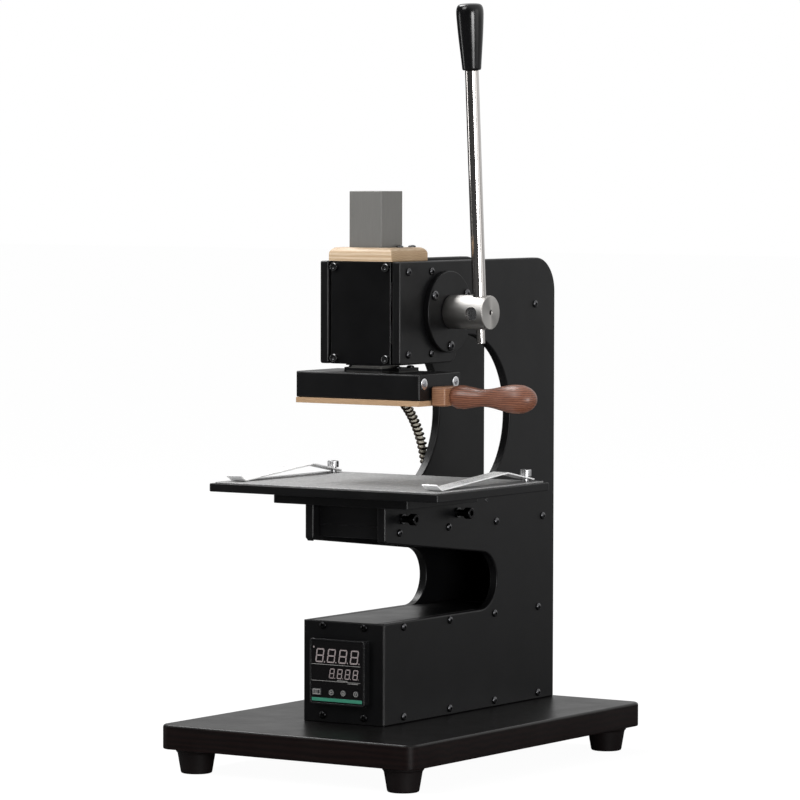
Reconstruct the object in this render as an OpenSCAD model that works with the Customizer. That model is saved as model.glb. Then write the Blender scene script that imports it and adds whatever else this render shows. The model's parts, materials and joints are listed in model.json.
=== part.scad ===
// Bench hot foil stamping press with a lever, a heated block and a slide-out type plate.
// Millimetres, +Z up, +Y to the back. The origin lies on the floor under the middle of the whole outline.

/* [Base] */
// Width of the wooden base board
base_w = 220; // [200:1:260]
// Depth of the wooden base board
base_d = 320; // [315:1:380]
// Thickness of the wooden base board
base_t = 18; // [12:1:30]
// Radius of the board's upright corners
base_corner_r = 9; // [3:0.5:18]
// Radius worked along the board's top edge
base_edge_r = 2; // [0.5:0.5:4]
// Height of a foot
foot_h = 18; // [10:1:30]
// Diameter of a foot where it meets the board
foot_top_d = 30; // [24:1:36]
// Diameter of a foot on the floor
foot_bottom_d = 23; // [16:1:30]
// Distance of a foot's axis from the board's edges
foot_inset = 20; // [18:1:40]

/* [Frame] */
// Width over both side plates
frame_w = 70; // [66:1:90]
// Thickness of a side plate
plate_t = 7; // [5:0.5:8]
// Reach of the side plates ahead of the base's middle
frame_front = 81; // [76:1:100]
// Reach of the side plates behind the base's middle
frame_back = 153; // [150:1:157]
// Height of the side plates
frame_h = 336; // [320:1:380]
// Radius of the plates' upper back corner
plate_back_r = 26; // [6:1:40]
// Radius of the plates' free lower corners at the front
plate_nose_r = 2; // [0.5:0.5:4]
// Height of the control box's top above the base board
box_h = 74.5; // [70:0.5:85]
// Height of the arm's top above the base board
arm_h = 159; // [156:1:170]
// Drop of the arm's underside below its top at the front
arm_front_drop = 26; // [25:0.5:32]
// Drop of the arm's underside below its top at the back of the lower throat
arm_back_drop = 41; // [34:0.5:46]
// Place of the lower throat's round end behind the base's middle
low_throat_y = 50; // [40:1:60]
// Thickness of the floor plate of the control box
bottom_plate_t = 10; // [8:0.5:12]
// Thickness of the roof plate of the control box
box_plate_t = 8; // [7:0.5:10]
// Thickness of the plate in the arm
arm_plate_t = 9; // [7:0.5:11]
// Setback of the arm plate behind the plates' front edges
arm_recess = 8; // [4:0.5:14]
// Diameter of the rear tie rod of the head
tie_rod_d = 14; // [10:0.5:20]

/* [Head] */
// Setback of the head's front behind the frame's front
head_setback = 19; // [12:0.5:24]
// Height of the head
head_h = 75; // [72:0.5:84]
// Rise of the upper throat above the head's underside
throat_rise = 20; // [10:0.5:24]
// Place of the throat's centre behind the base's middle
throat_y = 28; // [22:0.5:34]
// Back edge of the head's lug behind the base's middle
lug_back = 14; // [11:0.5:18]
// Radius of the lug's lower corner
lug_r = 8; // [3:0.5:12]
// Height of a guide block
guide_h = 15; // [12:0.5:17]
// Thickness of the head's front panel
head_panel_t = 2; // [1:0.1:3]
// Height of the wooden cap on the head
cap_h = 10; // [8:0.5:16]
// Width of the wooden cap
cap_w = 55; // [50:0.5:60]
// Radius worked along the cap's top edges
cap_r = 5; // [1:0.5:7]

/* [Ram and pinion] */
// Side of the square ram
ram_size = 28; // [24:0.5:30]
// Setback of the ram's front face behind the head's front
ram_setback = 7; // [6:0.5:10]
// Length of the ram above the wooden cap
ram_above = 41; // [20:1:60]
// Tooth size of the pinion, as pitch diameter over teeth
gear_module = 1.5; // [1.5:0.05:1.6]
// Teeth on the pinion
pinion_teeth = 37; // [35:1:38]
// Width of the pinion
pinion_w = 10; // [8:0.5:12]
// Width of the rack bar in the ram
rack_w = 12; // [11:0.5:16]
// Height of the pinion's axis above the head's underside
axis_h = 37.5; // [36:0.5:39]
// Diameter of the pinion's shaft
shaft_d = 16; // [12:0.5:18]
// Diameter of the bearing flange on the right plate
flange_d = 60; // [56:1:64]
// Thickness of the bearing flange
flange_t = 4.5; // [3:0.5:6]

/* [Lever] */
// Diameter of the lever's hub
hub_d = 25; // [22:0.5:30]
// Length of the lever's hub
hub_l = 34.5; // [30:0.5:40]
// Diameter of the lever's rod
rod_d = 10; // [8:0.5:12]
// Distance of the rod from the hub's outer end
rod_from_end = 9.5; // [8:0.5:12]
// Lean of the lever towards the front at rest, in degrees
lever_lean = 3.9; // [0:0.1:10]
// Length of rod between the hub's axis and the knob
rod_l = 177; // [150:1:200]
// Length of the knob
knob_l = 48; // [40:1:60]
// Greatest diameter of the knob
knob_d = 20; // [16:0.5:26]

/* [Heat block and type plate] */
// Gap between the head's underside and the block
block_gap = 6; // [5.5:0.1:12]
// Width of the heat block
block_w = 108; // [100:1:120]
// Depth of the heat block
block_d = 55; // [52:0.5:60]
// Height of the heat block
block_h = 19; // [18:0.5:26]
// Lead of the block's front ahead of the head's front
block_lead = 3.5; // [0:0.5:6]
// Thickness of the type plate
type_t = 4; // [3:0.5:6]
// Diameter of a cartridge heater
heater_d = 8; // [6:0.5:8]
// Reach of the wooden handle beyond the block
handle_l = 81; // [70:1:100]
// Greatest diameter of the wooden handle
handle_d = 21; // [18:0.5:26]

/* [Table] */
// Width of the table
table_w = 200; // [190:1:220]
// Depth of the table
table_d = 152.5; // [146:0.5:160]
// Thickness of the table
table_t = 6; // [5:0.5:10]
// Reach of the table's front ahead of the frame's front
table_lead = 30.5; // [20:0.5:34]
// Thickness of the rubber mat
mat_t = 1; // [0.5:0.1:3]
// Inset of the rubber mat from the table's edges
mat_inset = 3; // [1:0.5:6]
// Radius of the upright corners of the table and the slide plate
table_corner_r = 2.5; // [1:0.5:6]
// Width of the slide plate under the table
slide_w = 118; // [100:1:140]
// Depth of the slide plate under the table
slide_d = 96; // [90:1:102]
// Thickness of the slide plate
slide_t = 8; // [5:0.5:9]
// Height of the slide plate's keel
keel_h = 15; // [14:0.5:16]
// Width of a paper clip's strip
clip_w = 13; // [10:0.5:15]
// Thickness of a paper clip's strip
clip_t = 1; // [0.6:0.1:1.2]
// Height of a paper clip's ridge above the mat
clip_rise = 7.4; // [6:0.2:14]

/* [Controls] */
// Side of the controller's square bezel
bezel_w = 48; // [46:0.5:50]
// Depth of the bezel in front of the panel
bezel_t = 7; // [5:0.5:9]
// Side of the controller's case behind the panel
case_w = 45; // [40:0.5:45]
// Depth of the controller's case behind the panel
case_d = 76; // [60:1:80]
// Thickness of the control box's front panel
front_panel_t = 1.5; // [1:0.1:3]
// Travel of a controller key
key_travel = 0.5; // [0.3:0.1:0.7]

/* [Fits] */
// Running clearance round a turning shaft, on the radius
run_fit = 0.05; // [0.02:0.01:0.1]
// Clearance round a fastener or a seated piece, on each side
seat_fit = 0.05; // [0.02:0.01:0.1]
// Clearance beside a sliding piece, on each side
slide_fit = 0.15; // [0.1:0.05:0.3]
// Clearance between a moving piece and what it passes
free_fit = 0.3; // [0.25:0.05:0.4]

/* [Hidden] */
$fn = 64;

satin_black = [0.10, 0.10, 0.11];
panel_black = [0.13, 0.13, 0.14];
board_black = [0.16, 0.14, 0.14];
steel = [0.78, 0.78, 0.80];
bright_steel = [0.90, 0.90, 0.92];
ram_grey = [0.46, 0.46, 0.43];
brass = [0.80, 0.64, 0.42];
bronze = [0.55, 0.44, 0.30];
beech = [0.82, 0.70, 0.56];
walnut = [0.45, 0.25, 0.17];
rubber = [0.20, 0.20, 0.21];
plastic_black = [0.06, 0.06, 0.07];
mica = [0.72, 0.66, 0.54];
sleeve_tan = [0.62, 0.52, 0.40];

// Levels
base_bottom = foot_h;
base_top = foot_h + base_t;
box_top = base_top + box_h;
arm_top = base_top + arm_h;
frame_top = base_top + frame_h;
head_bottom = frame_top - head_h;
axis_z = head_bottom + axis_h;
throat_r = (head_bottom + throat_rise - arm_top) / 2;
throat_z = arm_top + throat_r;
low_throat_top = arm_top - arm_back_drop;
low_throat_r = (low_throat_top - box_top) / 2;
arm_plate_top = arm_top - keel_h;
slide_top = arm_top + slide_t;
table_top = slide_top + table_t;
mat_top = table_top + mat_t;
block_top = head_bottom - block_gap;
block_bottom = block_top - block_h;
type_top = block_bottom - slide_fit;
type_bottom = type_top - type_t;

// Places from front to back
plates_front = -frame_front;
head_front = plates_front + head_setback;
inner_w = frame_w - 2 * plate_t;
ram_front = head_front + ram_setback;
ram_back = ram_front + ram_size;
ram_y = ram_front + ram_size / 2;
pitch_r = gear_module * pinion_teeth / 2;
tooth_tip = gear_module;
tooth_root = 1.25 * gear_module;
rack_sink = 0.25;
pitch_y = ram_back - rack_sink - tooth_tip;
axis_y = pitch_y + pitch_r;
panel_sink = 1;
guide_front = head_front + panel_sink + head_panel_t;
guide_back_wall = 13;
guide_back = ram_back + guide_back_wall;
cross_back = frame_back - 3;
block_front = head_front - block_lead;
block_back = block_front + block_d;
block_y = block_front + block_d / 2;
table_front = plates_front - table_lead;
table_back = table_front + table_d;
slide_front = plates_front - 7;
slide_back = slide_front + slide_d;
keel_front = plates_front + arm_recess;
keel_l = 93;
panel_front = plates_front - front_panel_t;
bezel_z = base_top + 38;
bezel_front = panel_front - bezel_t;
bezel_x = -1.2;

// Places from left to right, with the frame's middle plane at x = mid_x
block_right = block_w / 2;
handle_gap = 0.7;
handle_end = block_right + handle_gap + handle_l + 0.3;
mid_x = -(handle_end - base_w / 2) / 2;
hub_start = frame_w / 2 + flange_t + free_fit;
hub_end = hub_start + hub_l;
rod_x = hub_end - rod_from_end;

// Small fasteners
m3_d = 3;
m3_head_d = 5.7;
m3_head_h = 1.7;
m3_grip = 7;
m4_d = 4;
m4_head_d = 7.4;
m4_head_h = 2.1;
m5_d = 5;
m5_head_d = 8.5;
m5_head_h = 5;
box_row_start = 25;
box_row_step = 62;
arm_row_start = 19;
arm_row_step = 66;
row_count = 4;
guide_screw_inset = 11;
guide_screw_step = 31;
tie_rod_inset = 29;
tie_rod_drop = 35;
tie_rod_y = frame_back - tie_rod_inset;
tie_rod_z = frame_top - tie_rod_drop;
box_screw_z = box_top - box_plate_t / 2;
floor_screw_z = base_top + bottom_plate_t / 2;
arm_screw_z = arm_plate_top - arm_plate_t / 2;
guide_screw_z = [head_bottom + guide_h / 2, frame_top - guide_h / 2];
guide_screw_y = [head_front + guide_screw_inset, head_front + guide_screw_inset + guide_screw_step];

plate_screw_spots = concat(
    [for (i = [0:row_count - 1]) [plates_front + box_row_start + i * box_row_step, floor_screw_z]],
    [for (i = [0:row_count - 1]) [plates_front + box_row_start + i * box_row_step, box_screw_z]],
    [for (i = [0:row_count - 1]) [plates_front + arm_row_start + i * arm_row_step, arm_screw_z]],
    [for (y = guide_screw_y) for (z = guide_screw_z) [y, z]],
    [[tie_rod_y, tie_rod_z]]
);

// Bearing flange
flange_bolt_r = flange_d / 2 - 5;
flange_bolt_angles = [30, 150, 270];
boss_d = shaft_d + 6;
collar_d = shaft_d + 8;
collar_l = 4;
bush_lip_d = shaft_d + 10;
bush_lip_t = 2;

// Locking screws of the table
lock_front_inset = 22.2;
lock_step = 74.2;
lock_y = [plates_front + lock_front_inset, plates_front + lock_front_inset + lock_step];
lock_z = arm_top - 9.5;
lock_out = [6, 6];
lock_ring_d = 7.6;
lock_ring_t = 2;

// Paper clips
clip_x = table_w / 2 - 14.5;
clip_screw_inset = 11;
clip_ridge_l = 34.5;
clip_front_l = 88;
clip_tail_l = 8;
clip_tail_rise = 4;
clip_clear = 10;
clip_screw_y = table_back - clip_screw_inset;
clip_ridge_y = clip_screw_y - clip_ridge_l;
clip_foot_y = clip_ridge_y - clip_front_l;
clip_tail_y = clip_foot_y - clip_tail_l;
clip_slope = clip_rise / (clip_w / 2 + clip_screw_y - clip_ridge_y);
clip_screw_head_h = 5;
clip_end_y = clip_screw_y + clip_w / 2;
clip_leg_z = mat_top + free_fit + clip_slope * clip_w / 2;
clip_head_z = clip_leg_z + clip_t + clip_slope * m5_head_d / 2 + 0.4;

// Controller
key_z = bezel_z - 14.8;
set_key_x = -17.5;
round_key_x = [-4.7, 5.8, 16.8];
set_key_size = [8, 5];
round_key_d = 4.6;
key_proud = 0.8;
face_inset = 1.6;
face_t = 1;
face_sink = 0.6;
key_well = 3;

// Rear fittings
inlet_z = base_top + 31;
switch_z = base_top + 53;
inlet_size = [27, 20];
inlet_lip = 2;
switch_size = [19, 13];
switch_lip = 1.2;
rear_cover_t = 2;
relay_w = 45;
relay_d = 58;
relay_h = 24;

// Heat block fittings
slot_neck_w = 12;
slot_neck_h = 2.8;
slot_head_w = 20;
slot_head_h = 3;
heater_z = block_bottom + 11.2;
heater_step = 11.5;
side_screw_z = block_bottom + 12;
side_screw_step = 42;
flange_plate_t = 2;
shield_t = 1;
ram_lip = 1.5;
flange_ear_w = 48;
flange_ear_d = 26.5;
flange_ear_lead = 8.5;
ram_flange_hole_x = 19.5;
ram_flange_hole_step = 18;
ram_screw_depth = 11;
flange_screw_depth = 2.5;
heater_stop = 8;
heater_l = 96;
side_screw_l = 12;
side_hole_l = 14;
lead_hole_l = 8;
guide_lip = 1.7;
guide_lip_h = 1;
neck_r = 1.3;
neck_rise = 1.5;

// Handle of the type plate
root_w = 26;
root_h = 14;
root_l = 12;
handle_x = block_right + handle_gap;
handle_z = type_bottom + 6.5;
tongue_w = 20;
tongue_l = 8;

// Spiral hose of the heater lead, in a plane beside the left plate
hose_x = -(frame_w / 2 + 10);
hose_start_z = block_bottom + 9;
ferrule_l = 6.5;
ferrule_d = 10;
elbow_w = 17;
elbow_d = 16;
elbow_h = 22;
elbow_y = 98;
elbow_rise = 129;
elbow_z = base_top + elbow_rise;
hose_wire_d = 1.8;
hose_mean_r = 2.7;
hose_curls = 38;
curl_rings = 8;
curl_sides = 6;
lead_d = 3;
lead_sides = 8;
lead_rings = 24;
// Route of the hose from the block to the elbow, as distance back and height
hose_from = [block_back + ferrule_l, hose_start_z];
hose_to = [elbow_y, elbow_z + elbow_h];
hose_reach = 66;
hose_drop = 52;

// Helpers
module on_mid() {
    translate([mid_x, 0, 0]) children();
}

module along_x(x0, length) {
    translate([x0, 0, 0]) rotate([90, 0, 90]) linear_extrude(length) children();
}

module along_y(y0, length) {
    translate([0, y0 + length, 0]) rotate([90, 0, 0]) linear_extrude(length) children();
}

module x_cylinder(x0, length, d) {
    translate([x0, 0, 0]) rotate([0, 90, 0]) cylinder(h = length, d = d);
}

module y_cylinder(y0, length, d) {
    translate([0, y0, 0]) rotate([-90, 0, 0]) cylinder(h = length, d = d);
}

// Box from its low corner, centred across the machine
module mid_box(w, y0, y1, z0, z1) {
    translate([-w / 2, y0, z0]) cube([w, y1 - y0, z1 - z0]);
}

module rounded_rect(w, d, r) {
    square([w - 2 * r, d], center = true);
    square([w, d - 2 * r], center = true);
    for (x = [-1, 1]) for (y = [-1, 1]) translate([x * (w / 2 - r), y * (d / 2 - r)]) circle(r);
}

// Slab with rounded upright corners, centred across the machine
module mid_slab(w, y0, y1, z0, z1, r) {
    translate([0, (y0 + y1) / 2, z0]) linear_extrude(z1 - z0) rounded_rect(w, y1 - y0, r);
}

// Upright section with its two top corners rounded, from low to high along both axes
module top_rounded(a0, a1, b0, b1, r) {
    translate([a0, b0]) square([a1 - a0, b1 - b0 - r]);
    translate([a0 + r, b0]) square([a1 - a0 - 2 * r, b1 - b0]);
    for (a = [a0 + r, a1 - r]) translate([a, b1 - r]) circle(r);
}

// Button head screw standing on z = 0, with its shank below
module button_screw(d, head_d, head_h, shank) {
    difference() {
        union() {
            rotate_extrude($fn = 32) polygon([[0, 0], [head_d / 2, 0], [head_d / 2, head_h * 0.35],
                [head_d * 0.4, head_h * 0.8], [head_d * 0.27, head_h], [0, head_h]]);
            translate([0, 0, -shank]) cylinder(h = shank + 0.01, d = d, $fn = 24);
        }
        translate([0, 0, head_h * 0.4]) cylinder(h = head_h, d = d * 0.72, $fn = 6);
    }
}

// Socket cap screw standing on z = 0, with its shank below
module cap_screw(d, head_d, head_h, shank) {
    difference() {
        union() {
            rotate_extrude($fn = 40) polygon([[0, 0], [head_d / 2, 0], [head_d / 2, head_h - 0.5],
                [head_d / 2 - 0.5, head_h], [0, head_h]]);
            translate([0, 0, -shank]) cylinder(h = shank + 0.01, d = d, $fn = 24);
        }
        translate([0, 0, head_h * 0.45]) cylinder(h = head_h, d = d * 0.92, $fn = 6);
    }
}

// Hole for a fastener, from just above z = 0 down to a depth
module drill(d, depth) {
    translate([0, 0, -depth]) cylinder(h = depth + 1, d = d + 2 * seat_fit, $fn = 24);
}

// Both sides of the frame, with +Z pointing out of the plate
module at_plate_screws() {
    for (side = [-1, 1]) for (spot = plate_screw_spots)
        translate([side * frame_w / 2, spot[0], spot[1]]) rotate([0, side * 90, 0]) children();
}

module plate_screw_holes() {
    at_plate_screws() drill(m3_d, plate_t + m3_grip + 0.5);
}

// Base
module base_plan() {
    rounded_rect(base_w, base_d, base_corner_r);
}

module at_feet() {
    for (x = [-1, 1]) for (y = [-1, 1])
        translate([x * (base_w / 2 - foot_inset), y * (base_d / 2 - foot_inset), 0]) children();
}

base_screw_spots = [[-inner_w / 2 + 10, plates_front + 30], [inner_w / 2 - 10, plates_front + 30],
    [-inner_w / 2 + 10, cross_back - 30], [inner_w / 2 - 10, cross_back - 30]];

module at_base_screws() {
    for (spot = base_screw_spots) translate([spot[0], spot[1], base_bottom]) rotate([180, 0, 0]) children();
}

module base_board() {
    color(board_black) on_mid() difference() {
        intersection() {
            translate([0, 0, base_bottom]) linear_extrude(base_t) base_plan();
            along_x(-base_w / 2, base_w)
                top_rounded(-base_d / 2, base_d / 2, base_bottom, base_top, base_edge_r);
            along_y(-base_d / 2, base_d)
                top_rounded(-base_w / 2, base_w / 2, base_bottom, base_top, base_edge_r);
        }
        at_base_screws() drill(m5_d, base_t + 1);
    }
}

module feet() {
    color(plastic_black) on_mid() at_feet() rotate_extrude() polygon([[0, 0], [foot_bottom_d / 2 - 1, 0],
        [foot_bottom_d / 2, 1], [foot_top_d / 2 - 1, foot_h - 3], [foot_top_d / 2, foot_h - 2],
        [foot_top_d / 2, foot_h], [0, foot_h]]);
}

module base_screws() {
    color(steel) on_mid() at_base_screws()
        button_screw(m5_d, m5_head_d, m5_head_h / 2, base_t + bottom_plate_t - 2);
}

// Frame
module plate_outline() {
    difference() {
        union() {
            translate([plates_front, base_top]) square([frame_front + frame_back, frame_h - plate_back_r]);
            translate([plates_front, base_top]) square([frame_front + frame_back - plate_back_r, frame_h]);
            translate([frame_back - plate_back_r, frame_top - plate_back_r]) circle(plate_back_r);
        }
        translate([plates_front - 1, arm_top]) square([head_setback + 1, frame_top - arm_top + 1]);
        upper_throat();
        lower_throat();
        translate([head_front, head_bottom]) nose_cut();
        translate([plates_front, arm_top - arm_front_drop]) nose_cut();
    }
}

module nose_cut() {
    difference() {
        translate([-1, -1]) square(plate_nose_r + 1);
        translate([plate_nose_r, plate_nose_r]) circle(plate_nose_r);
    }
}

module upper_throat() {
    difference() {
        union() {
            translate([throat_y, throat_z]) circle(throat_r, $fn = 128);
            translate([plates_front - 1, arm_top]) square([frame_front + 1 + throat_y, 2 * throat_r]);
        }
        translate([head_front - 1, head_bottom]) square([lug_back - lug_r - head_front + 1, head_h]);
        translate([head_front - 1, head_bottom + lug_r]) square([lug_back - head_front + 1, head_h]);
        translate([lug_back - lug_r, head_bottom + lug_r]) circle(lug_r);
    }
}

module lower_throat() {
    arm_low_front = arm_top - arm_front_drop;
    polygon([[plates_front - 1, box_top], [low_throat_y, box_top], [low_throat_y, low_throat_top],
        [plates_front, arm_low_front], [plates_front - 1, arm_low_front]]);
    translate([low_throat_y, box_top + low_throat_r]) circle(low_throat_r);
}

module side_plate(side) {
    difference() {
        along_x(side > 0 ? frame_w / 2 - plate_t : -frame_w / 2, plate_t) plate_outline();
        plate_screw_holes();
        translate([0, axis_y, axis_z]) x_cylinder(-frame_w / 2 - 1, frame_w + 2, boss_d + 2 * seat_fit);
    }
}

module side_plate_left() {
    color(satin_black) on_mid() difference() {
        side_plate(-1);
        translate([0, elbow_y, elbow_z + elbow_h / 3]) x_cylinder(-frame_w / 2 - 1, plate_t + 2, 7);
    }
}

module side_plate_right() {
    color(satin_black) on_mid() difference() {
        side_plate(1);
        for (y = lock_y) translate([0, y, lock_z])
            x_cylinder(frame_w / 2 - plate_t - 1, plate_t + 2, m5_d + 2 * run_fit);
        at_flange_screws() drill(m4_d, plate_t + flange_t + 1);
    }
}

module bottom_plate() {
    color(satin_black) on_mid() difference() {
        mid_box(inner_w, plates_front, cross_back, base_top, base_top + bottom_plate_t);
        plate_screw_holes();
        at_base_screws() drill(m5_d, base_t + bottom_plate_t - 1);
        at_front_panel_screws() panel_screw_hole();
        at_rear_cover_screws() panel_screw_hole();
    }
}

module box_roof_plate() {
    color(satin_black) on_mid() difference() {
        mid_box(inner_w, plates_front, cross_back, box_top - box_plate_t, box_top);
        plate_screw_holes();
        at_front_panel_screws() panel_screw_hole();
        wire_way();
    }
}

module arm_plate() {
    color(satin_black) on_mid() difference() {
        mid_box(inner_w, keel_front, cross_back, arm_plate_top - arm_plate_t, arm_plate_top);
        plate_screw_holes();
        at_rear_cover_screws() panel_screw_hole();
    }
}

// Opening for the heater's wires behind the lower throat
module wire_way() {
    translate([0, elbow_y, box_top - box_plate_t - 1]) cylinder(h = box_plate_t + 2, d = 16);
}

module plate_screws() {
    color(satin_black) on_mid() at_plate_screws() button_screw(m3_d, m3_head_d, m3_head_h, plate_t + m3_grip);
}

module tie_rod() {
    color(satin_black) on_mid() difference() {
        translate([0, tie_rod_y, tie_rod_z]) x_cylinder(-inner_w / 2, inner_w, tie_rod_d);
        plate_screw_holes();
    }
}

// Control box
front_screw_x = 18;
front_screw_z = [floor_screw_z + 0.5, box_screw_z + 0.5];
panel_grip = 9.5;

module at_front_panel_screws() {
    for (x = [-1, 1]) for (z = front_screw_z)
        translate([x * front_screw_x, panel_front, z]) rotate([90, 0, 0]) children();
}

module panel_screw_hole() {
    drill(m3_d, panel_grip + 0.5);
}

module panel_screw() {
    button_screw(m3_d, m3_head_d, m3_head_h, panel_grip);
}

module front_panel() {
    color(panel_black) on_mid() difference() {
        mid_box(frame_w, panel_front, plates_front, base_top, box_top);
        translate([bezel_x, 0, bezel_z]) mid_box(case_w + 2 * seat_fit, panel_front - 1, plates_front + 1,
            -case_w / 2 - seat_fit, case_w / 2 + seat_fit);
        at_front_panel_screws() panel_screw_hole();
    }
}

face_w = bezel_w - 2 * face_inset;
face_back = bezel_front + face_sink + face_t;

module controller_case() {
    color(plastic_black) on_mid() translate([bezel_x, 0, bezel_z]) difference() {
        union() {
            along_y(bezel_front, bezel_t) rounded_rect(bezel_w, bezel_w, 2);
            mid_box(case_w, panel_front - 0.01, panel_front + case_d, -case_w / 2, case_w / 2);
        }
        mid_box(face_w + 2 * seat_fit, bezel_front - 1, face_back,
            -face_w / 2 - seat_fit, face_w / 2 + seat_fit);
        mid_box(face_w - 1, face_back - 0.01, face_back + key_well, key_z - bezel_z - 4, key_z - bezel_z + 4);
    }
}

module set_key_shape(grow) {
    translate([set_key_x, key_z])
        square([set_key_size[0] + 2 * grow, set_key_size[1] + 2 * grow], center = true);
}

module controller_face() {
    color(plastic_black) on_mid() translate([bezel_x, 0, 0]) difference() {
        along_y(face_back - face_t, face_t) translate([0, bezel_z]) square(face_w, center = true);
        along_y(bezel_front - 1, bezel_t) set_key_shape(free_fit);
        for (x = round_key_x) translate([x, 0, key_z])
            y_cylinder(bezel_front - 1, bezel_t, round_key_d + 2 * free_fit);
    }
}

key_front = face_back - face_t - key_proud;
key_l = key_proud + face_t + key_well - key_travel - free_fit;

module round_key(i) {
    color(panel_black) on_mid() translate([bezel_x + round_key_x[i], 0, key_z])
        y_cylinder(key_front, key_l, round_key_d);
}

module key_set() {
    color(panel_black) on_mid() translate([bezel_x, 0, 0]) along_y(key_front, key_l) set_key_shape(0);
}

module key_shift() {
    round_key(0);
}

module key_down() {
    round_key(1);
}

module key_up() {
    round_key(2);
}

module relay() {
    relay_front = plates_front + front_panel_t + case_d + 22;
    relay_floor = base_top + bottom_plate_t;
    color(plastic_black) on_mid() mid_box(relay_w, relay_front, relay_front + relay_d, relay_floor,
        relay_floor + relay_h);
}

// Rear cover with its inlet and switch
rear_cover_top = arm_plate_top;

module at_rear_cover_screws() {
    for (x = [-1, 1]) for (z = [floor_screw_z, arm_screw_z])
        translate([x * front_screw_x, cross_back + rear_cover_t, z]) rotate([-90, 0, 0]) children();
}

module rear_cover() {
    color(satin_black) on_mid() difference() {
        mid_box(inner_w - 2 * seat_fit, cross_back, cross_back + rear_cover_t, base_top, rear_cover_top);
        mid_box(inlet_size[0] + 2 * seat_fit, cross_back - 1, cross_back + rear_cover_t + 1,
            inlet_z - inlet_size[1] / 2 - seat_fit, inlet_z + inlet_size[1] / 2 + seat_fit);
        mid_box(switch_size[0] + 2 * seat_fit, cross_back - 1, cross_back + rear_cover_t + 1,
            switch_z - switch_size[1] / 2 - seat_fit, switch_z + switch_size[1] / 2 + seat_fit);
        at_rear_cover_screws() panel_screw_hole();
    }
}

rear_face = cross_back + rear_cover_t;

module mains_inlet() {
    color(plastic_black) on_mid() translate([0, 0, inlet_z]) difference() {
        union() {
            mid_box(inlet_size[0], cross_back - 22, rear_face + 0.01, -inlet_size[1] / 2, inlet_size[1] / 2);
            mid_box(inlet_size[0] + 2 * inlet_lip, rear_face, rear_face + 1.5,
                -inlet_size[1] / 2 - inlet_lip, inlet_size[1] / 2 + inlet_lip);
        }
        difference() {
            mid_box(inlet_size[0] - 3, rear_face - 15, rear_face + 2,
                -inlet_size[1] / 2 + 2, inlet_size[1] / 2 - 2);
            mid_box(inlet_size[0] - 7, rear_face - 16, rear_face - 1,
                -inlet_size[1] / 2 + 4.5, inlet_size[1] / 2 - 4.5);
        }
    }
}

module switch_housing() {
    color(plastic_black) on_mid() translate([0, 0, switch_z]) difference() {
        union() {
            mid_box(switch_size[0], cross_back - 16, rear_face + 0.01,
                -switch_size[1] / 2, switch_size[1] / 2);
            mid_box(switch_size[0] + 2 * switch_lip, rear_face, rear_face + 1.5,
                -switch_size[1] / 2 - switch_lip, switch_size[1] / 2 + switch_lip);
        }
        mid_box(switch_size[0] - 3, rear_face - 9, rear_face + 2,
            -switch_size[1] / 2 + 1.2, switch_size[1] / 2 - 1.2);
    }
}

rocker_pivot_y = rear_face - 3.5;
rocker_w = switch_size[1] - 2.4 - 2 * free_fit;
rocker_l = switch_size[0] - 3 - 2 * free_fit - 3;

module switch_rocker() {
    color([0.75, 0.10, 0.08]) on_mid() translate([0, rocker_pivot_y, switch_z]) {
        translate([0, 0, -rocker_w / 2]) linear_extrude(rocker_w) polygon([[-rocker_l / 2, -1],
            [rocker_l / 2, -1], [rocker_l / 2, 4], [0, 5.4], [-rocker_l / 2, 6.6]]);
        translate([0, 0, -switch_size[1] / 2 + 1.2 + 0.05])
            cylinder(h = switch_size[1] - 2.4 - 0.1, d = 3);
    }
}

// Head
module ram_way(clearance) {
    s = ram_size + 2 * clearance;
    translate([-s / 2, ram_front - clearance, head_bottom - 40]) cube([s, s, frame_top - head_bottom + 80]);
}

module pinion_pocket() {
    translate([0, axis_y, axis_z])
        x_cylinder(-pinion_w / 2 - 2, pinion_w + 4, 2 * (pitch_r + tooth_tip) + 3);
    translate([0, axis_y, axis_z]) x_cylinder(-inner_w / 2 - 1, inner_w + 2, boss_d + 3);
}

module guide_block(z0, lip_h) {
    difference() {
        union() {
            mid_box(inner_w, guide_front, guide_back, z0, z0 + guide_h);
            mid_box(ram_size + 2 * guide_lip, ram_front - guide_lip, ram_back + guide_lip,
                z0 - lip_h, z0 + guide_h);
        }
        ram_way(slide_fit);
        pinion_pocket();
        plate_screw_holes();
        at_head_panel_screws() panel_screw_hole();
        at_cap_screws() drill(m3_d, cap_screw_grip + 0.5);
    }
}

module lower_guide() {
    color(satin_black) on_mid() guide_block(head_bottom, guide_lip_h);
}

module upper_guide() {
    color(satin_black) on_mid() guide_block(frame_top - guide_h, 0);
}

head_panel_w = inner_w - 4;
head_screw_inset = 3.4;
head_screw_drop = 4.2;
head_screw_x = head_panel_w / 2 - head_screw_inset;
head_screw_z = [head_bottom + head_screw_drop, frame_top - head_screw_drop];

module at_head_panel_screws() {
    for (x = [-1, 1]) for (z = head_screw_z)
        translate([x * head_screw_x, head_front + panel_sink, z]) rotate([90, 0, 0]) children();
}

module head_panel() {
    color(panel_black) on_mid() difference() {
        mid_box(head_panel_w, head_front + panel_sink, guide_front, head_bottom, frame_top);
        at_head_panel_screws() panel_screw_hole();
    }
}

// Screws of the control box's front, the head's front and the rear cover
module panel_screws() {
    color(steel) on_mid() {
        at_front_panel_screws() panel_screw();
        at_head_panel_screws() panel_screw();
        at_rear_cover_screws() panel_screw();
    }
}

cap_front = head_front;
cap_back = guide_back + 0.5;
cap_top = frame_top + cap_h;
cap_screw_x = cap_w / 2 - 8;
cap_screw_y = [ram_back - 12, ram_back + 4.5];
cap_screw_grip = cap_h + 4;

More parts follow.
